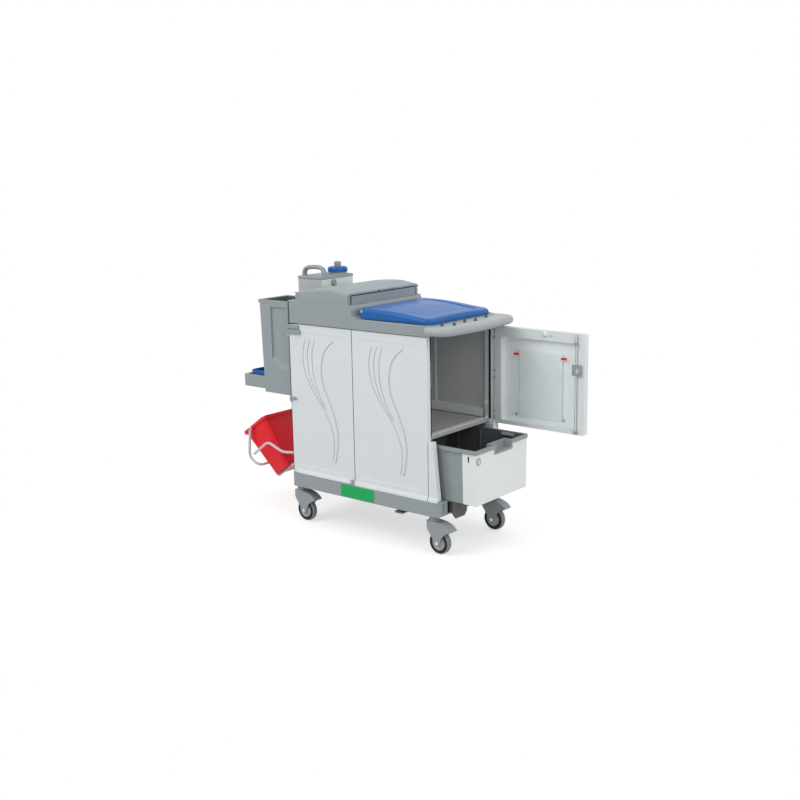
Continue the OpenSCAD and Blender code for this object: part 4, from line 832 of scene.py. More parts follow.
def dot_nodes(name, profile, sides):
    """A Geometry Nodes tree: a turned stud on every point; profile is (radius, height) pairs in metres."""
    tree, ins, spread = spread_nodes(name)
    join = tree.nodes.new("GeometryNodeJoinGeometry")
    for (r0, z0), (r1, z1) in zip(profile, profile[1:]):
        cone = tree.nodes.new("GeometryNodeMeshCone")
        cone.fill_type = "NGON"
        for label, value in (("Vertices", sides), ("Radius Bottom", r0), ("Radius Top", r1),
                             ("Depth", z1 - z0)):
            cone.inputs[label].default_value = value
        move = tree.nodes.new("GeometryNodeTransform")
        move.inputs["Translation"].default_value = (0.0, 0.0, z0)
        link(tree, (cone.outputs["Mesh"], move.inputs["Geometry"]), (move.outputs[0], join.inputs[0]))
    aim = tree.nodes.new("FunctionNodeAlignEulerToVector")
    aim.axis = "Z"
    normal = tree.nodes.new("GeometryNodeInputNormal")
    link(tree, (ins.outputs["Geometry"], spread.inputs["Points"]),
         (join.outputs[0], spread.inputs["Instance"]),
         (normal.outputs[0], aim.inputs["Vector"]), (aim.outputs[0], spread.inputs["Rotation"]))
    return tree


SEED = 1e-5


def studs(name, places, facing, tree, material, node):
    """Studs from a dot tree at places, in mm, that face one way; they ride the node's body."""
    ahead = Vector(facing).normalized()
    side = ahead.orthogonal().normalized() * SEED
    other = ahead.cross(side)
    bm = bmesh.new()
    for place in places:
        p = Vector(place) * MM
        bm.faces.new([bm.verts.new(p + side * a + other * b) for a,
                      b in ((1, 0), (-0.5, 0.87), (-0.5, -0.87))])
    bmesh.ops.recalc_face_normals(bm, faces=bm.faces)
    for face in bm.faces:
        if face.normal.dot(ahead) < 0:
            face.normal_flip()
    holder = bpy.data.meshes.new(name)
    bm.to_mesh(holder)
    bm.free()
    return settle(grown(add_object(name, holder), tree, {"Finish": MATERIALS[material]}), node)


BOW_X, BOW_R, BEND_R, GRIP_Y, GRIP_Z, GRIP_R = -719.0, 1195.0, 45.0, 240.0, 926.5, 17.5
WEB_X, WEB_LOW, WEB_TOP = 374.0, 934.0, 942.0
BOW_TURN = math.asin((GRIP_Y - BEND_R) / (BOW_R - BEND_R))
BEND_X = BOW_X + (BOW_R - BEND_R) * math.cos(BOW_TURN)


def swept_handle():
    """The bowed push handle in one sweep, with the web that joins it to the deck."""
    half = [(372.0, -GRIP_Y), (392.0, -GRIP_Y)]
    for k in range(13):
        a = -math.pi / 2 + (math.pi / 2 - BOW_TURN) * k / 12
        half.append((BEND_X + BEND_R * math.cos(a), -(GRIP_Y - BEND_R) + BEND_R * math.sin(a)))
    for k in range(1, 17):
        a = -BOW_TURN * (1 - k / 16)
        half.append((BOW_X + BOW_R * math.cos(a), BOW_R * math.sin(a)))
    path = [Vector((x, y, GRIP_Z)) * MM for x, y in half + [(x, -y) for x, y in half[-2::-1]]]
    bm = bmesh.new()
    ring_sweep(bm, tube_rings(path, GRIP_R * MM, 32))
    rows = []
    for k in range(49):
        y = -232.0 + 464.0 * k / 48
        x1 = BOW_X + math.sqrt(BOW_R ** 2 - y * y) - 7.0
        bend = max(0.0, abs(y) - (GRIP_Y - BEND_R))
        x1 = min(x1, BEND_X + math.sqrt(max(0.0, (BEND_R - 4) ** 2 - bend * bend))) if bend else x1
        edge = ((WEB_X, WEB_LOW), (WEB_X, WEB_TOP), (x1 - 12.0, WEB_TOP), (x1, WEB_TOP - 2.5), (x1, WEB_LOW))
        rows.append([Vector((x, y, z)) * MM for x, z in edge])
    ring_sweep(bm, rows)
    return piece(bm, "swept_handle", ["light_grey_and_lip_highlight"], "push_handle", "push_handle", angle=45.0)


class CART_OT_deck(bpy.types.Operator):
    """Deck with its push handle and the holder studs of the waste bag"""
    bl_idname = "cart.deck"
    bl_label = "Deck and push handle"

    def execute(self, context):
        rounded("deck", "grey", 0.0035)
        # Raised lips along the deck edges in the lighter grey: real lips with a painted highlight along them.
        lips = mirrored((-396.0, -34.0), (235.0, 239.0), (998.0, 1001.6))
        lips += mirrored((26.0, 352.0), (235.0, 239.0), (943.0, 946.6))
        slabs("deck_lip_highlights", "deck", "light_grey_and_lip_highlight", lips, 0.0014)
        slabs("deck_shadow_gap", "deck", "black_and_gap_shade", mirrored((-398.0, 333.0), (227.2, 228.6), (897.0, 903.4)),
              0.0003)
        # A black wedge under the near corner of the deck: painted shadow in the gap above the panel.
        bm = bmesh.new()
        wedge = [(-398.0, 903.2), (-398.0, 896.5), (-300.0, 901.8), (-300.0, 903.2)]
        ring_sweep(bm, plate_rings(wedge, (-231.0, -232.4)))
        piece(bm, "deck_corner_shadow", ["black_and_gap_shade"], "deck")
        swept_handle()
        plug = dot_nodes("holder stud", [(0.0078, 0.0), (0.0078, 0.0032), (0.0052, 0.0042), (0.0046, 0.0105)],
                         28)
        places = ((424.0, -127.0), (409.0, -37.0), (419.0, 24.0), (397.0, -172.0), (398.0, 128.0))
        studs("bag_holders", [(x, y, WEB_TOP) for x, y in places], (0, 0, 1), plug, "dark", "push_handle")
        return {"FINISHED"}


LID_HALF, LID_NOSE, LID_ROLL, LID_WALL = 216.0, 368.0, 15.0, 3.0
LID_PIN_X, LID_PIN_Z, LID_BARREL = 12.0, 978.0, 14.0
LID_EDGE = [(12.0, 992.0), (60.0, 991.0), (116.0, 989.0), (190.0, 984.0), (250.0, 978.0), (329.0, 971.0),
            (368.0, 966.5)]


def waste_edge(x):
    """Height of the waste lid along its side, in mm, over the hinge barrel and down to the nose."""
    if x < LID_PIN_X:
        return LID_PIN_Z + math.sqrt(max(0.0, LID_BARREL ** 2 - (LID_PIN_X - x) ** 2))
    return through(LID_EDGE, x)


def waste_half(x):
    """Half width of the waste lid, with its front corners cut."""
    return LID_HALF - 24.0 * max(0.0, (x - 341.0) / 27.0)


def roll_drop(edge, roll):
    """Fall of a rolled edge at a distance from it."""
    return roll - math.sqrt(max(0.0, roll * roll - (roll - min(edge, roll)) ** 2))


def waste_height(x, y, inset):
    """Height of the lid's skin: a soft crown, rolled edges and a sunk field."""
    drop = roll_drop(min(waste_half(x) - abs(y), LID_NOSE - x), LID_ROLL)
    crown = 11.0 * (1 - (y / LID_HALF) ** 2) * ease(x, 20.0, 110.0) * (1 - 0.55 * ease(x, 180.0, LID_NOSE))
    field = min(ease(x, 44.0, 56.0), 1 - ease(x, 326.0, 340.0), ease(y, -186.0, -168.0),
                1 - ease(y, 153.0, 159.0))
    return waste_edge(x) + crown - drop - 4.0 * field - inset


def shell_lid(bm, xs, share, outer, inner, foot):
    """An open shell from two height grids; outer and inner give points, foot gives the rim height."""
    skins = []
    for point in (outer, inner):
        skins.append([[bm.verts.new(Vector(point(x, t)) * MM) for t in share] for x in xs])
    for skin in skins:
        for a, b in zip(skin, skin[1:]):
            join_rows(bm, a, b, wrap=False)
    feet = []
    for skin in skins:
        loop = [row[0] for row in skin] + skin[-1][1:] + [row[-1] for row in skin[-2::-1]] + skin[0][-2:0:-1]
        feet.append([bm.verts.new((v.co.x, v.co.y, foot(v.co.x / MM) * MM)) for v in loop])
        join_rows(bm, loop, feet[-1])
    join_rows(bm, *feet)


def grid_steps(*runs):
    """Sorted places from runs of (start, step, count)."""
    return sorted({round(start + step * k, 2) for start, step, count in runs for k in range(count)})


def both_sides(*places):
    """Runs for grid_steps at each place and its mirror image."""
    return [(k * place, 0.0, 1) for place in places for k in (1, -1)]


def moulded_waste_lid():
    """The blue waste lid: hollow, crowned, with a sunk field and cut front corners."""
    xs = [-2.0, -1.4, 0.0, 2.5, 6.0, 12.0, 20.0, 30.0, 40.0]
    xs += grid_steps((44.0, 2.0, 7), (62.0, 11.0, 24), (326.0, 2.0, 8), (343.0, 4.0, 3), (354.0, 3.0, 4))
    xs += [365.0, 366.6, 367.5, LID_NOSE]
    ys = grid_steps((-186.0, 3.0, 7), (150.0, 1.5, 8), (-150.0, 15.0, 20), (170.0, 12.0, 2),
                    *both_sides(LID_HALF, 215.6, 214.6, 213.0, 211.0, 208.5, 206.0, 203.0, 199.0, 192.0))

    def outer(x, t):
        return x, t * waste_half(x), waste_height(x, t * waste_half(x), 0.0)

    def inner(x, t):
        half = waste_half(x)
        return min(max(x, 1.0), LID_NOSE - LID_WALL), t * (half - LID_WALL), waste_height(x, t * half,
                LID_WALL)

    bm = bmesh.new()
    shell_lid(bm, xs, [y / LID_HALF for y in ys], outer, inner,
              lambda x: 948.0 + 12.0 * (1 - ease(x, -2.0, 10.0)))
    middles = [(face, face.calc_center_median() / MM) for face in bm.faces]
    slots = [face for face, p in middles if p.x < 1.1 and 203.5 < abs(p.y) < 213.1]
    bmesh.ops.delete(bm, geom=slots, context="FACES")
    return piece(bm, "moulded_waste_lid", ["blue"], "waste_lid", "waste_lid", angle=40.0)


class CART_OT_waste_lid(bpy.types.Operator):
    """Blue waste lid on its pins"""
    bl_idname = "cart.waste_lid"
    bl_label = "Waste lid"

    def execute(self, context):
        moulded_waste_lid()
        paint("waste_lid_pins", "steel")
        button = dot_nodes("pin button", [(0.0062, 0.0), (0.0060, 0.0012), (0.0042, 0.0024)], 28)
        for name, k in (("lid_pin_caps_near", -1), ("lid_pin_caps_far", 1)):
            studs(name, [(LID_PIN_X, 216.2 * k, LID_PIN_Z)], (0, k, 0), button, "panel", "waste_lid_pins")
        return {"FINISHED"}


ROOF = [(-352.0, 1036.5), (-335.0, 1043.0), (-281.0, 1053.0), (-202.0, 1060.0), (-183.0, 1061.0),
        (-126.0, 1061.0),
        (-89.0, 1055.5), (-52.0, 1050.6), (-45.0, 1048.0)]
ROOF_HALF, ROOF_ROLL, ROOF_WALL, ROOF_BACK = 234.0, 16.0, 3.0, -352.0


def roof_height(x, y, inset):
    """Height of the box lid: an arch along the cart with rolled long edges."""
    return through(ROOF, x) - 0.75 * roll_drop(ROOF_HALF - abs(y), ROOF_ROLL) - inset


def moulded_box_lid():
    """The arched box lid: thick side cheeks, a short front apron and an open back."""
    xs = [ROOF_BACK, -349.0, -344.0, -335.0] + grid_steps((-325.0, 9.0, 30))
    xs += [-57.0, -52.0, -49.4, -49.2, -48.0, -46.4, -45.0]
    ys = grid_steps((-210.0, 28.0, 16), *both_sides(ROOF_HALF, 233.6, 232.6, 231.0, 228.6, 225.6, 222.0,
                                                    218.0))

    def outer(x, t):
        return x, t * ROOF_HALF, roof_height(x, t * ROOF_HALF, 0.0)

    def inner(x, t):
        return min(max(x, -351.5), -48.0), t * 214.3, roof_height(x, t * ROOF_HALF, ROOF_WALL)

    bm = bmesh.new()
    shell_lid(bm, xs, [y / ROOF_HALF for y in ys], outer, inner, lambda x: 1041.0 if x > -49.3 else 1001.0)
    middles = [(face, face.calc_center_median() / MM) for face in bm.faces]
    back = [face for face, p in middles if p.x < -351.4 and abs(p.y) < 214.0 and abs(face.normal.z) < 0.5]
    bmesh.ops.delete(bm, geom=back, context="FACES")
    return piece(bm, "moulded_box_lid", ["grey"], "box_lid", "box_lid", angle=40.0)


class CART_OT_top_box(bpy.types.Operator):
    """Top box with its arched lid"""
    bl_idname = "cart.top_box"
    bl_label = "Top box"

    def execute(self, context):
        rounded("top_box", "grey", 0.0012)
        moulded_box_lid()
        paint("box_lid_pins", "steel")
        slabs("box_lid_tabs", "box_lid", "grey", mirrored((-360.0, -336.0), (222.0, 234.4), (1035.5, 1038.5)),
              0.0008)
        # Black strips in the seams at the front of the top box and two black ticks on the lid's front edge:
        # painted shade in the gaps and notches.
        seams = mirrored((-45.5, -44.6), (212.6, 215.4), (1004.0, 1038.0))
        seams += [((-45.6, -44.7), (-212.0, 212.0), (1036.6, 1040.6))]
        slabs("box_front_seam_shade", "top_box", "black_and_gap_shade", seams, 0.0002)
        ticks = [((-45.4, -44.5), (y - 2.4, y + 2.4), (1040.0, 1047.5)) for y in (-36.0, 52.0)]
        slabs("box_lid_tick_shade", "box_lid", "black_and_gap_shade", ticks, 0.0002)
        return {"FINISHED"}


class CART_OT_end_door(bpy.types.Operator):
    """End door with its pocket, clips, lock and rods"""
    bl_idname = "cart.end_door"
    bl_label = "End door"

    def execute(self, context):
        fine = settings("detail").fine_edge
        # The recessed inner skin that faces the near side takes a lighter copy of the panel white: painted
        # light.
        two_tone("end_door", ["panel", "door_lit_white"], lambda normal, p: normal.y < -0.6 and p.y > 208.6, 0.003)
        bm = bmesh.new()
        lathe(bm, [(0.05, -9.0), (5.0, -8.4), (9.4, -6.0), (11.4, -2.4), (12.0, 0.6)], (636.0, 208.2, 880.0),
              "Y", 40)
        piece(bm, "door_knob", ["panel"], "end_door")
        finishes = {"clear": ["document_pocket"], "red": ["pocket_clip_1", "pocket_clip_2"],
                    "grey": ["rod_guides", "lock_case"],
                    "steel": ["door_screws", "lock_knob", "lock_rod_upper", "lock_rod_lower",
                              "door_hinge_pins"]}
        for material, nodes in finishes.items():
            for node in nodes:
                rounded(node, material, fine)
        return {"FINISHED"}


def in_drawer(p):
    """Whether a point, in mm, lies on the inner skin of the drawer, which takes the painted shade."""
    in_tub = 148.5 < p.x < 560.5 and abs(p.y) < 176.6 and 229.0 < p.z < 454.0
    in_recess = p.x > 527.0 and -56.0 < p.y < 76.0 and p.z > 414.0
    return in_tub and not in_recess



class CART_OT_drawer(bpy.types.Operator):
    """Slide-out drawer with its front cover and lock"""
    bl_idname = "cart.drawer"
    bl_label = "Drawer"

    def execute(self, context):
        count = settings("detail").drawer_ribs
        # The drawer's inner skin takes the dark tub grey: painted shade inside the drawer.
        two_tone("drawer_bin", ["grey_rim", "tub"], lambda normal, p: in_drawer(p), 0.0022)
        # The drawer's front cover takes a lighter copy of the panel white: painted light.
        rounded("drawer_front", "front", 0.0018)
        rounded("drawer_lock", "steel", settings("detail").fine_edge)
        outer = [block for x in ((165.0, 240.0), (330.0, 417.0))
                 for block in mirrored(x, (175.5, 179.2), (230.0, 439.0), 4.9)]
        slabs("drawer_pilasters", "drawer_bin", "grey_rim", outer, 0.0016)
        ribs = [212.0 + 240.0 * i / max(1, count - 1) for i in range(count)]
        inner = [block for x in ribs for block in mirrored((x - 6.0, x + 6.0), (168.6, 174.0), (231.0, 444.0),
                                                           4.6)]
        # The inner ribs take the same painted shade as the drawer's inner skin.
        slabs("drawer_inner_ribs", "drawer_bin", "tub", inner, 0.0022)
        grip = [((452.0, 508.0), (160.0, 178.0), (438.0, 451.0)),
                ((458.0, 502.0), (156.5, 162.0), (441.0, 448.0))]
        slabs("drawer_inner_grip", "drawer_bin", "grey_rim", grip, 0.0022)
        # A black fill in the keyhole: painted shade in the opening.
        hole = [((527.6, 534.4), (-183.75, -182.0), (412.0, 430.0), -0.4),
                ((529.0, 533.0), (-183.45, -181.6), (403.5, 413.0), -0.2)]
        slabs("keyhole_shade", "drawer_front", "black_and_gap_shade", hole, 0.0002)
        ring = [(11.2, -1.0), (11.2, 2.2), (12.2, 3.0), (14.6, 2.6), (15.4, 1.4), (15.6, -1.0)]
        turned("lock_ring", ring, (566.0, -164.0, 409.3), "X", 56, ["grey_rim"], "drawer_front")
        return {"FINISHED"}


BIN_LOW, BIN_TOP, BIN_NEAR, BIN_FACE, BIN_BACK, BIN_PROUD = 570.0, 989.0, -421.0, 205.6, 204.0, 8.0
FACE_ROLL = 3.0
EDGE_STEPS = [0.0, 0.6, 1.6, FACE_ROLL]


def bin_edge(z):
    """Far edge of the leaning bin wall at a height."""
    return -599.0 + 14.0 * (1 - (z - BIN_LOW) / 419.0)


def bin_recess(x, z):
    """1 in the scooped hand recess of the bin, 0 outside it."""
    foot = 738.0 - 36.0 * ease(x, -529.0, -462.0)
    return min(ease(x, -530.4, -529.0), 1 - ease(x, -437.0, -434.0), ease(z, foot - 20.0, foot + 3.0),
               1 - ease(z, 957.5, 961.0))


def bin_columns(z):
    """Places across the bin's near side at a height, close together at the edges and round the recess."""
    x0 = bin_edge(z)
    places = [x0 + k for k in EDGE_STEPS] + [BIN_NEAR - k for k in EDGE_STEPS]
    places += [x0 + FACE_ROLL + (-533.0 - x0 - FACE_ROLL) * k / 4 for k in range(1, 4)]
    places += [-533.0, -530.4, -529.9, -529.4, -529.0, -526.0, -437.0, -436.0, -435.0, -434.0, -429.0]
    return sorted(places + [-515.0 + 11.0 * k for k in range(8)])


def in_bin(p):
    """Whether a point, in mm, lies on the inner skin of the bin, which takes the painted shade."""
    return bin_edge(p.z) + 2.0 < p.x < -423.0 and -202.0 < p.y < -38.0 and 572.0 < p.z < 988.5


def bin_face(name, rows, columns, proud):
    """A grid face that stands proud of the bin's near side, with rolled edges and a skirt to the wall."""
    bm = bmesh.new()
    grid = []
    for z in rows:
        xs = columns(z)
        line = []
        for x in xs:
            edge = min(x - xs[0], xs[-1] - x, z - rows[0], rows[-1] - z)
            fall = FACE_ROLL * (1 - math.sqrt(max(0.0, 1 - (1 - min(1.0, edge / FACE_ROLL)) ** 2)))
            line.append(bm.verts.new((x * MM, -(BIN_FACE + proud(x, z) - fall) * MM, z * MM)))
        grid.append(line)
    for a, b in zip(grid, grid[1:]):
        join_rows(bm, a, b, wrap=False)
    loop = grid[0] + [row[-1] for row in grid[1:]] + grid[-1][-2::-1] + [row[0] for row in grid[-2:0:-1]]
    join_rows(bm, loop, [bm.verts.new((v.co.x, -BIN_BACK * MM, v.co.z)) for v in loop])
    return piece(bm, name, ["grey"], "tall_bin", angle=40.0)


class CART_OT_far_end(bpy.types.Operator):
    """End bracket, tall bin and its tray"""
    bl_idname = "cart.far_end"
    bl_label = "Bin and bracket"

    def execute(self, context):
        rounded("end_bracket", "grey", 0.0012)
        # The bin's inner skin takes the dark tub grey: painted shade inside the bin.
        two_tone("tall_bin", ["grey", "tub"], lambda normal, p: in_bin(p), 0.002)
        rounded("bin_tray", "blue", 0.0012)
        rows = grid_steps((580.0, 14.0, 7), (680.0, 3.0, 23), (750.0, 15.0, 14), (956.0, 1.0, 7),
                          (970.0, 10.0, 2))
        rows = [BIN_LOW, 570.6, 571.6, 573.0] + rows + [987.0, 988.4, BIN_TOP]
        bin_face("bin_side", rows, bin_columns, lambda x, z: BIN_PROUD * (1 - bin_recess(x, z)))
        foot_rows = [584.0, 585.2, 587.0, 600.0, 612.0, 624.0, 637.0, 638.8, 640.0]
        foot_left = [-718.0, -717.4, -716.4, -715.0, -690.0, -660.0, -630.0]
        bin_face("bin_foot_side", foot_rows, lambda z: foot_left + [bin_edge(z) + 6.0], lambda x,
                 z: BIN_PROUD)
        lips = (((-605.0, BIN_NEAR), (-214.0, -204.5)), ((-605.0, -598.0), (-214.0, -28.0)),
                ((-605.0, BIN_NEAR), (-35.5, -28.0)))
        slabs("bin_lip", "tall_bin", "grey", [(x, y, (976.0, 990.0)) for x, y in lips], 0.0022)
        return {"FINISHED"}


def rib_ring_nodes():
    """A Geometry Nodes tree: upright half-round ribs in a ring."""
    tree, ins, spread = spread_nodes("rib ring", ("Count", "Int"), ("Ring Radius", "Float"),
                                     ("Rib Radius", "Float"),
                                     ("Rib Height", "Float"))
    ring = tree.nodes.new("GeometryNodeMeshCircle")
    rib = tree.nodes.new("GeometryNodeMeshCylinder")
    rib.inputs["Vertices"].default_value = 10
    link(tree, (ins.outputs["Count"], ring.inputs["Vertices"]),
         (ins.outputs["Ring Radius"], ring.inputs["Radius"]),
         (ins.outputs["Rib Radius"], rib.inputs["Radius"]), (ins.outputs["Rib Height"], rib.inputs["Depth"]),
         (ring.outputs[0], spread.inputs["Points"]), (rib.outputs["Mesh"], spread.inputs["Instance"]))
    return tree


def rib_ring(name, centre, node, values):
    """A ring of ribs round an upright axis through the centre, in mm."""
    obj = grown(add_object(name, bpy.data.meshes.new(name)), rib_ring_nodes(), values)
    obj.data.transform(Matrix.Translation(Vector(centre) * MM))
    return settle(obj, node)


def round_corners(x, y, radius, steps=8):
    """Points round a rectangle with round corners, in mm."""
    points = []
    for cx, cy, start in ((x[1] - radius, y[0] + radius, -90), (x[1] - radius, y[1] - radius, 0),
                          (x[0] + radius, y[1] - radius, 90), (x[0] + radius, y[0] + radius, 180)):
        for k in range(steps + 1):
            a = math.radians(start + 90 * k / steps)
            points.append((cx + radius * math.cos(a), cy + radius * math.sin(a)))
    return points


NECK_AT = (-466.0, 165.0, 0.0)
NECK = [(42.0, 1076.0), (42.0, 1085.0), (41.0, 1086.6), (37.0, 1087.0), (37.0, 1101.5), (33.0, 1101.5),
        (33.0, 1076.0)]
ARCH = [(-561.0, 1070.0), (-561.0, 1092.0), (-553.0, 1107.0), (-532.0, 1115.0), (-498.0, 1117.5),
        (-465.0, 1116.5),
        (-444.0, 1109.0), (-436.0, 1092.0), (-435.0, 1070.0)]
ARCH_Y, ARCH_R, ARCH_BREADTH = 0.044, 0.0098, 1.35
COVER = [(0.0, 1065.0), (1.8, 1066.5), (2.2, 1072.0), (1.2, 1075.0), (-1.5, 1076.6), (-5.0, 1077.0)]
CAP = [(37.3, 1087.3), (44.0, 1087.3), (45.0, 1088.3), (45.0, 1104.0), (43.6, 1108.0), (40.0, 1110.8),
       (30.0, 1112.3),
       (17.2, 1112.6), (16.0, 1114.5), (15.2, 1118.0), (16.2, 1122.0), (17.0, 1127.0), (15.8, 1132.0),
       (11.5, 1135.2),
       (5.0, 1136.3), (0.05, 1136.4), (0.05, 1106.3), (37.3, 1106.3)]
CAP_PARTS = [0] * 8 + [1] * 7 + [0] * 3
COLLAR = [(12.3, -0.5), (12.3, 3.0), (13.5, 4.0), (16.2, 3.6), (17.5, 2.0), (17.8, -0.5)]


def moulded_tank_cover():
    """The tank's grey cover: lipped plate, boss, filler neck and a broad carrying arch."""
    bm = bmesh.new()
    rings = []
    for grow, z in COVER:
        outline = round_corners((-580.0 - grow, -420.0 + grow), (2.0 - grow, 236.0 + grow), 30.0 + grow)
        rings.append([Vector((x, y, z)) * MM for x, y in outline])
    ring_sweep(bm, rings)
    lathe(bm, NECK, NECK_AT, "Z", 56, closed=True)
    path = round_path([Vector((x * MM, ARCH_Y, z * MM)) for x, z in ARCH], 0.012, 5)
    rings = tube_rings(path, ARCH_R, 20)
    ring_sweep(bm, [[Vector((p.x, ARCH_Y + (p.y - ARCH_Y) * ARCH_BREADTH,
                             p.z)) for p in ring] for ring in rings])
    return piece(bm, "moulded_tank_top", ["grey"], "tank_top", "tank_top", angle=40.0)


class CART_OT_tank(bpy.types.Operator):
    """Water tank with its cover, cap and button"""
    bl_idname = "cart.tank"
    bl_label = "Water tank"

    def execute(self, context):
        # Tank faces that turn to the near side take the grey: painted shade.
        two_tone("tank_body", ["panel", "sleeve"], lambda normal, p: normal.y < -0.55, 0.004)
        moulded_tank_cover()
        turned("turned_tank_cap", CAP, NECK_AT, "Z", 64, ["blue", "knob"], "tank_cap", "tank_cap",
               parts=CAP_PARTS,
               angle=34.0)
        ribs = {"Count": settings("detail").cap_ribs, "Finish": MATERIALS["blue"], "Ring Radius": 0.0446,
                "Rib Radius": 0.0016, "Rib Height": 0.014}
        rib_ring("tank_cap_ribs", (*NECK_AT[:2], 1096.0), "tank_cap", ribs)
        rounded("tank_button", "grey", 0.0012)
        turned("button_collar", COLLAR, (-420.0, 86.0, 1045.0), "X", 48, ["grey"], "tank_body")
        return {"FINISHED"}


WIRE_R = 6.0
BAIL_LEGS = [(-760.6, 353.0), (-772.9, 222.0), (-709.8, 190.0)]
BAIL_EYE = [(4.3, -4.6), (8.0, -4.6), (9.0, -3.4), (9.0, 3.4), (8.0, 4.6), (4.3, 4.6)]
CRADLE_SIDE = [(-404.0, 300.0), (-461.0, 295.0), (-530.0, 286.0), (-625.0, 321.0), (-720.0, 249.0)]
CRADLE_UNDER = [(-404.0, 307.3), (-649.6, 135.3), (-681.95, 167.6)]


def wire(name, node, paths, extra=()):
    """Bent round wire through paths in mm, with extra blocks, in place of a node."""
    bm = bmesh.new()
    for points, bend in paths:
        path = round_path([Vector(p) * MM for p in points], bend * MM, 6)
        ring_sweep(bm, tube_rings(path, WIRE_R * MM, 16))
    for block in extra:
        slab(bm, *block)
    return piece(bm, name, ["wire"], node, node, angle=40.0)


class CART_OT_bucket(bpy.types.Operator):
    """Tilted bucket with its bail, in the wire cradle"""
    bl_idname = "cart.bucket"
    bl_label = "Bucket and cradle"

    def execute(self, context):
        rounded("bucket", "red", 0.0022)
        near = [(x, -157.0, z) for x, z in BAIL_LEGS]
        far = [(x, 157.0, z) for x, z in BAIL_LEGS[::-1]]
        wire("bent_bail", "bucket_bail", [(near + far, 34.0)])
        bm = bmesh.new()
        for y in (-156.0, 156.0):
            lathe(bm, BAIL_EYE, (-759.89, y, 359.95), "Y", 32, closed=True)
        piece(bm, "bail_eyes", ["wire"], "bucket_bail", angle=30.0)
        rounded("bail_grip", "dark", 0.002)
        arms = ((CRADLE_SIDE, 173.0, 26.0), (CRADLE_UNDER, 90.0, 14.0))
        paths = [([(x, y * k, z) for x, z in arm], bend) for arm, y, bend in arms for k in (-1, 1)]
        wire("bent_cradle", "bucket_cradle", paths, [((-406.0, -401.2), (-185.0, 185.0), (274.0, 329.0))])
        return {"FINISHED"}


WHEEL_AT = [(-361.0, -195.0), (395.0, -195.0), (395.0, 195.0), (-361.0, 195.0)]
WHEEL_HALF = [(5.05, 18.7), (9.5, 18.7), (13.0, 18.2), (13.4, 14.2), (16.5, 13.6), (21.0, 11.6), (29.5, 11.6),
              (31.0, 12.6),
              (32.0, 14.4), (34.0, 15.4), (40.5, 15.8), (42.5, 15.2), (43.6, 13.9), (44.6, 13.6),
              (47.4, 11.8), (49.0, 8.4),
              (49.8, 4.0), (50.0, 0.0)]
WHEEL_R = 50.0
WHEEL_PARTS = [2] * 8 + [1] * 5 + [0] * 4


def turned_wheel(number):
    """A caster wheel: crowned grey tread, black side rings and a webbed grey hub with its bore."""
    profile = WHEEL_HALF + [(r, -a) for r, a in WHEEL_HALF[-2::-1]]
    parts = WHEEL_PARTS + WHEEL_PARTS[::-1] + [2]
    node = f"wheel_{number}"
    return turned("turned_" + node, profile, (*WHEEL_AT[number - 1], WHEEL_R), "Y", 72,
                  ["tread", "black_and_gap_shade", "hub"], node, node,
                  parts=parts, angle=34.0)


class CART_OT_casters(bpy.types.Operator):
    """Four swivel casters"""
    bl_idname = "cart.casters"
    bl_label = "Casters"

    def execute(self, context):
        for i in range(1, 5):
            rounded(f"caster_fork_{i}", "grey", 0.0022)
            turned_wheel(i)
            rounded(f"wheel_axle_{i}", "steel", settings("detail").fine_edge)
        return {"FINISHED"}


def soft_light(name, place, aim, power, size):
    """A square area lamp turned towards a point."""
    lamp = bpy.data.lights.new(name, "AREA")
    lamp.energy, lamp.size = power, size
    obj = bpy.data.objects.new(name, lamp)
    bpy.context.scene.collection.objects.link(obj)
    turn = (Vector(aim) - Vector(place)).to_track_quat("-Z", "Y").to_matrix().to_4x4()
    obj.matrix_world = Matrix.Translation(place) @ turn
    return obj


def bright_rays(tree):
    """1 for camera, glossy and transmission rays, else 0."""
    path = tree.nodes.new("ShaderNodeLightPath")
    both = math_node(tree, "MAXIMUM", path.outputs["Is Camera Ray"], path.outputs["Is Glossy Ray"])
    return math_node(tree, "MAXIMUM", both, path.outputs["Is Transmission Ray"])


PAPER, FLOOR_GLOW, FLOOR_R, FADE_FROM, FADE_TO = (0.56, 0.56, 0.56, 1), 0.56, 30.0, 0.7, 1.9
LIGHT_AIM = (0.0, 0.0, 0.5)


def studio_floor():
    """A white floor that takes soft shadows and fades to plain white away from the cart."""
    material = bpy.data.materials.new("studio floor")
    material.use_nodes = True
    tree = material.node_tree
    tree.nodes.clear()
    paper, glow, near, away, plain, total, out = (tree.nodes.new("ShaderNode" + kind) for kind in (
        "BsdfDiffuse", "Emission", "AddShader", "VectorMath", "Emission", "MixShader", "OutputMaterial"))
    paper.inputs["Color"].default_value = PAPER
    away.operation = "LENGTH"
    fade = math_node(tree, "MULTIPLY", ramp_node(tree, away.outputs["Value"], FADE_FROM, FADE_TO),
                     bright_rays(tree))
    link(tree, (math_node(tree, "MULTIPLY", bright_rays(tree), FLOOR_GLOW), glow.inputs["Strength"]),
         (paper.outputs[0], near.inputs[0]), (glow.outputs[0], near.inputs[1]),
         (object_vector(tree), away.inputs[0]), (fade, total.inputs[0]), (near.outputs[0], total.inputs[1]),
         (plain.outputs[0], total.inputs[2]), (total.outputs[0], out.inputs["Surface"]))
    bm = bmesh.new()
    bmesh.ops.create_circle(bm, cap_ends=True, segments=96, radius=FLOOR_R)
    bmesh.ops.translate(bm, verts=bm.verts, vec=(0, 0, -0.0005))
    mesh = bpy.data.meshes.new("studio_floor")
    bm.to_mesh(mesh)
    bm.free()
    mesh.materials.append(material)
    return add_object("studio_floor", mesh)


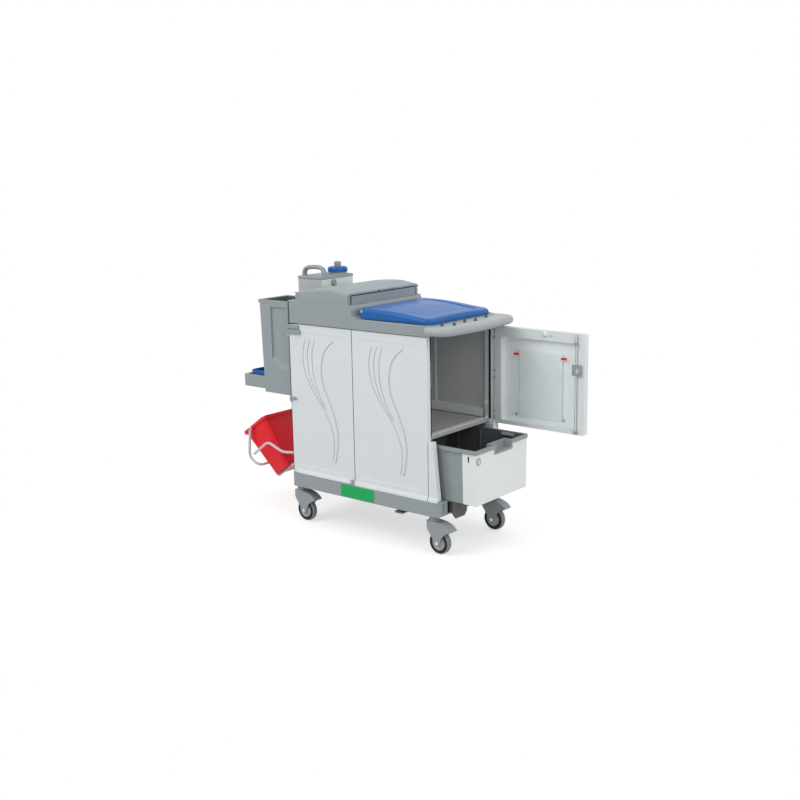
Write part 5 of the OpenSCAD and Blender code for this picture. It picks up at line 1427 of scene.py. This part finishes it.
class CART_OT_stage(bpy.types.Operator):
    """White floor, soft light and the camera"""
    bl_idname = "cart.stage"
    bl_label = "Studio"

    def execute(self, context):
        studio, scene = settings("studio"), context.scene
        scene.view_settings.view_transform = "Standard"
        world = bpy.data.worlds.new("studio white")
        world.use_nodes = True
        scene.world = world
        tree = world.node_tree
        back = next(n for n in tree.nodes if n.type == "BACKGROUND")
        back.inputs["Color"].default_value = (1, 1, 1, 1)
        link(tree, (ramp_node(tree, bright_rays(tree), 0.0, 1.0, studio.ambient, 1.0),
                    back.inputs["Strength"]))
        studio_floor()
        soft_light("key_light", (-1.2, -3.4, 3.6), LIGHT_AIM, studio.key, 2.6)
        soft_light("fill_light", (3.8, -0.6, 2.4), LIGHT_AIM, studio.fill, 2.4)
        soft_light("top_light", (0.2, 0.6, 4.2), LIGHT_AIM, 0.3 * studio.fill, 3.0)
        yaw, pitch, roll = (math.radians(a) for a in studio.turn)
        ahead = Vector((-math.sin(yaw) * math.cos(pitch), math.cos(yaw) * math.cos(pitch), -math.sin(pitch)))
        right = Vector((math.cos(yaw), math.sin(yaw), 0.0))
        up = right.cross(ahead)
        side = math.cos(roll) * right + math.sin(roll) * up
        top = math.cos(roll) * up - math.sin(roll) * right
        lens = bpy.data.cameras.new("photo_camera")
        lens.lens, lens.sensor_width, lens.sensor_fit = studio.lens, 36.0, "HORIZONTAL"
        lens.dof.use_dof = False
        camera = bpy.data.objects.new("photo_camera", lens)
        scene.collection.objects.link(camera)
        turn = Matrix((side, top, -ahead)).transposed().to_4x4()
        camera.matrix_world = Matrix.Translation(studio.camera) @ turn
        scene.camera = camera
        return {"FINISHED"}


STEPS = (CART_OT_stage, CART_OT_finishes, CART_OT_base, CART_OT_casters, CART_OT_cabinet, CART_OT_panels,
         CART_OT_deck,
         CART_OT_waste_lid, CART_OT_top_box, CART_OT_end_door, CART_OT_drawer, CART_OT_far_end, CART_OT_tank,
         CART_OT_bucket)


class CART_PT_panel(bpy.types.Panel):
    """Lists the cart's steps and their settings"""
    bl_idname = "CART_PT_panel"
    bl_label = "Janitor cart"
    bl_space_type = "VIEW_3D"
    bl_region_type = "UI"
    bl_category = "Cart"

    def draw(self, context):
        for step in STEPS:
            self.layout.operator(step.bl_idname)
        for group in GROUP_TYPES:
            for label in GROUP_TYPES[group].__annotations__:
                self.layout.prop(settings(group), label)


GROUP_TYPES = {"finish": CartFinish, "detail": CartDetail, "studio": CartStudio}
CLASSES = (*GROUP_TYPES.values(), *STEPS, CART_PT_panel)


def register():
    for cls in CLASSES:
        bpy.utils.register_class(cls)
    for name, cls in GROUP_TYPES.items():
        setattr(bpy.types.Scene, "cart_" + name, bpy.props.PointerProperty(type=cls))


def unregister():
    for name in GROUP_TYPES:
        delattr(bpy.types.Scene, "cart_" + name)
    for cls in reversed(CLASSES):
        bpy.utils.unregister_class(cls)


def main():
    register()
    for step in STEPS:
        family, name = step.bl_idname.split(".")
        getattr(getattr(bpy.ops, family), name)()


if __name__ == "__main__":
    main()
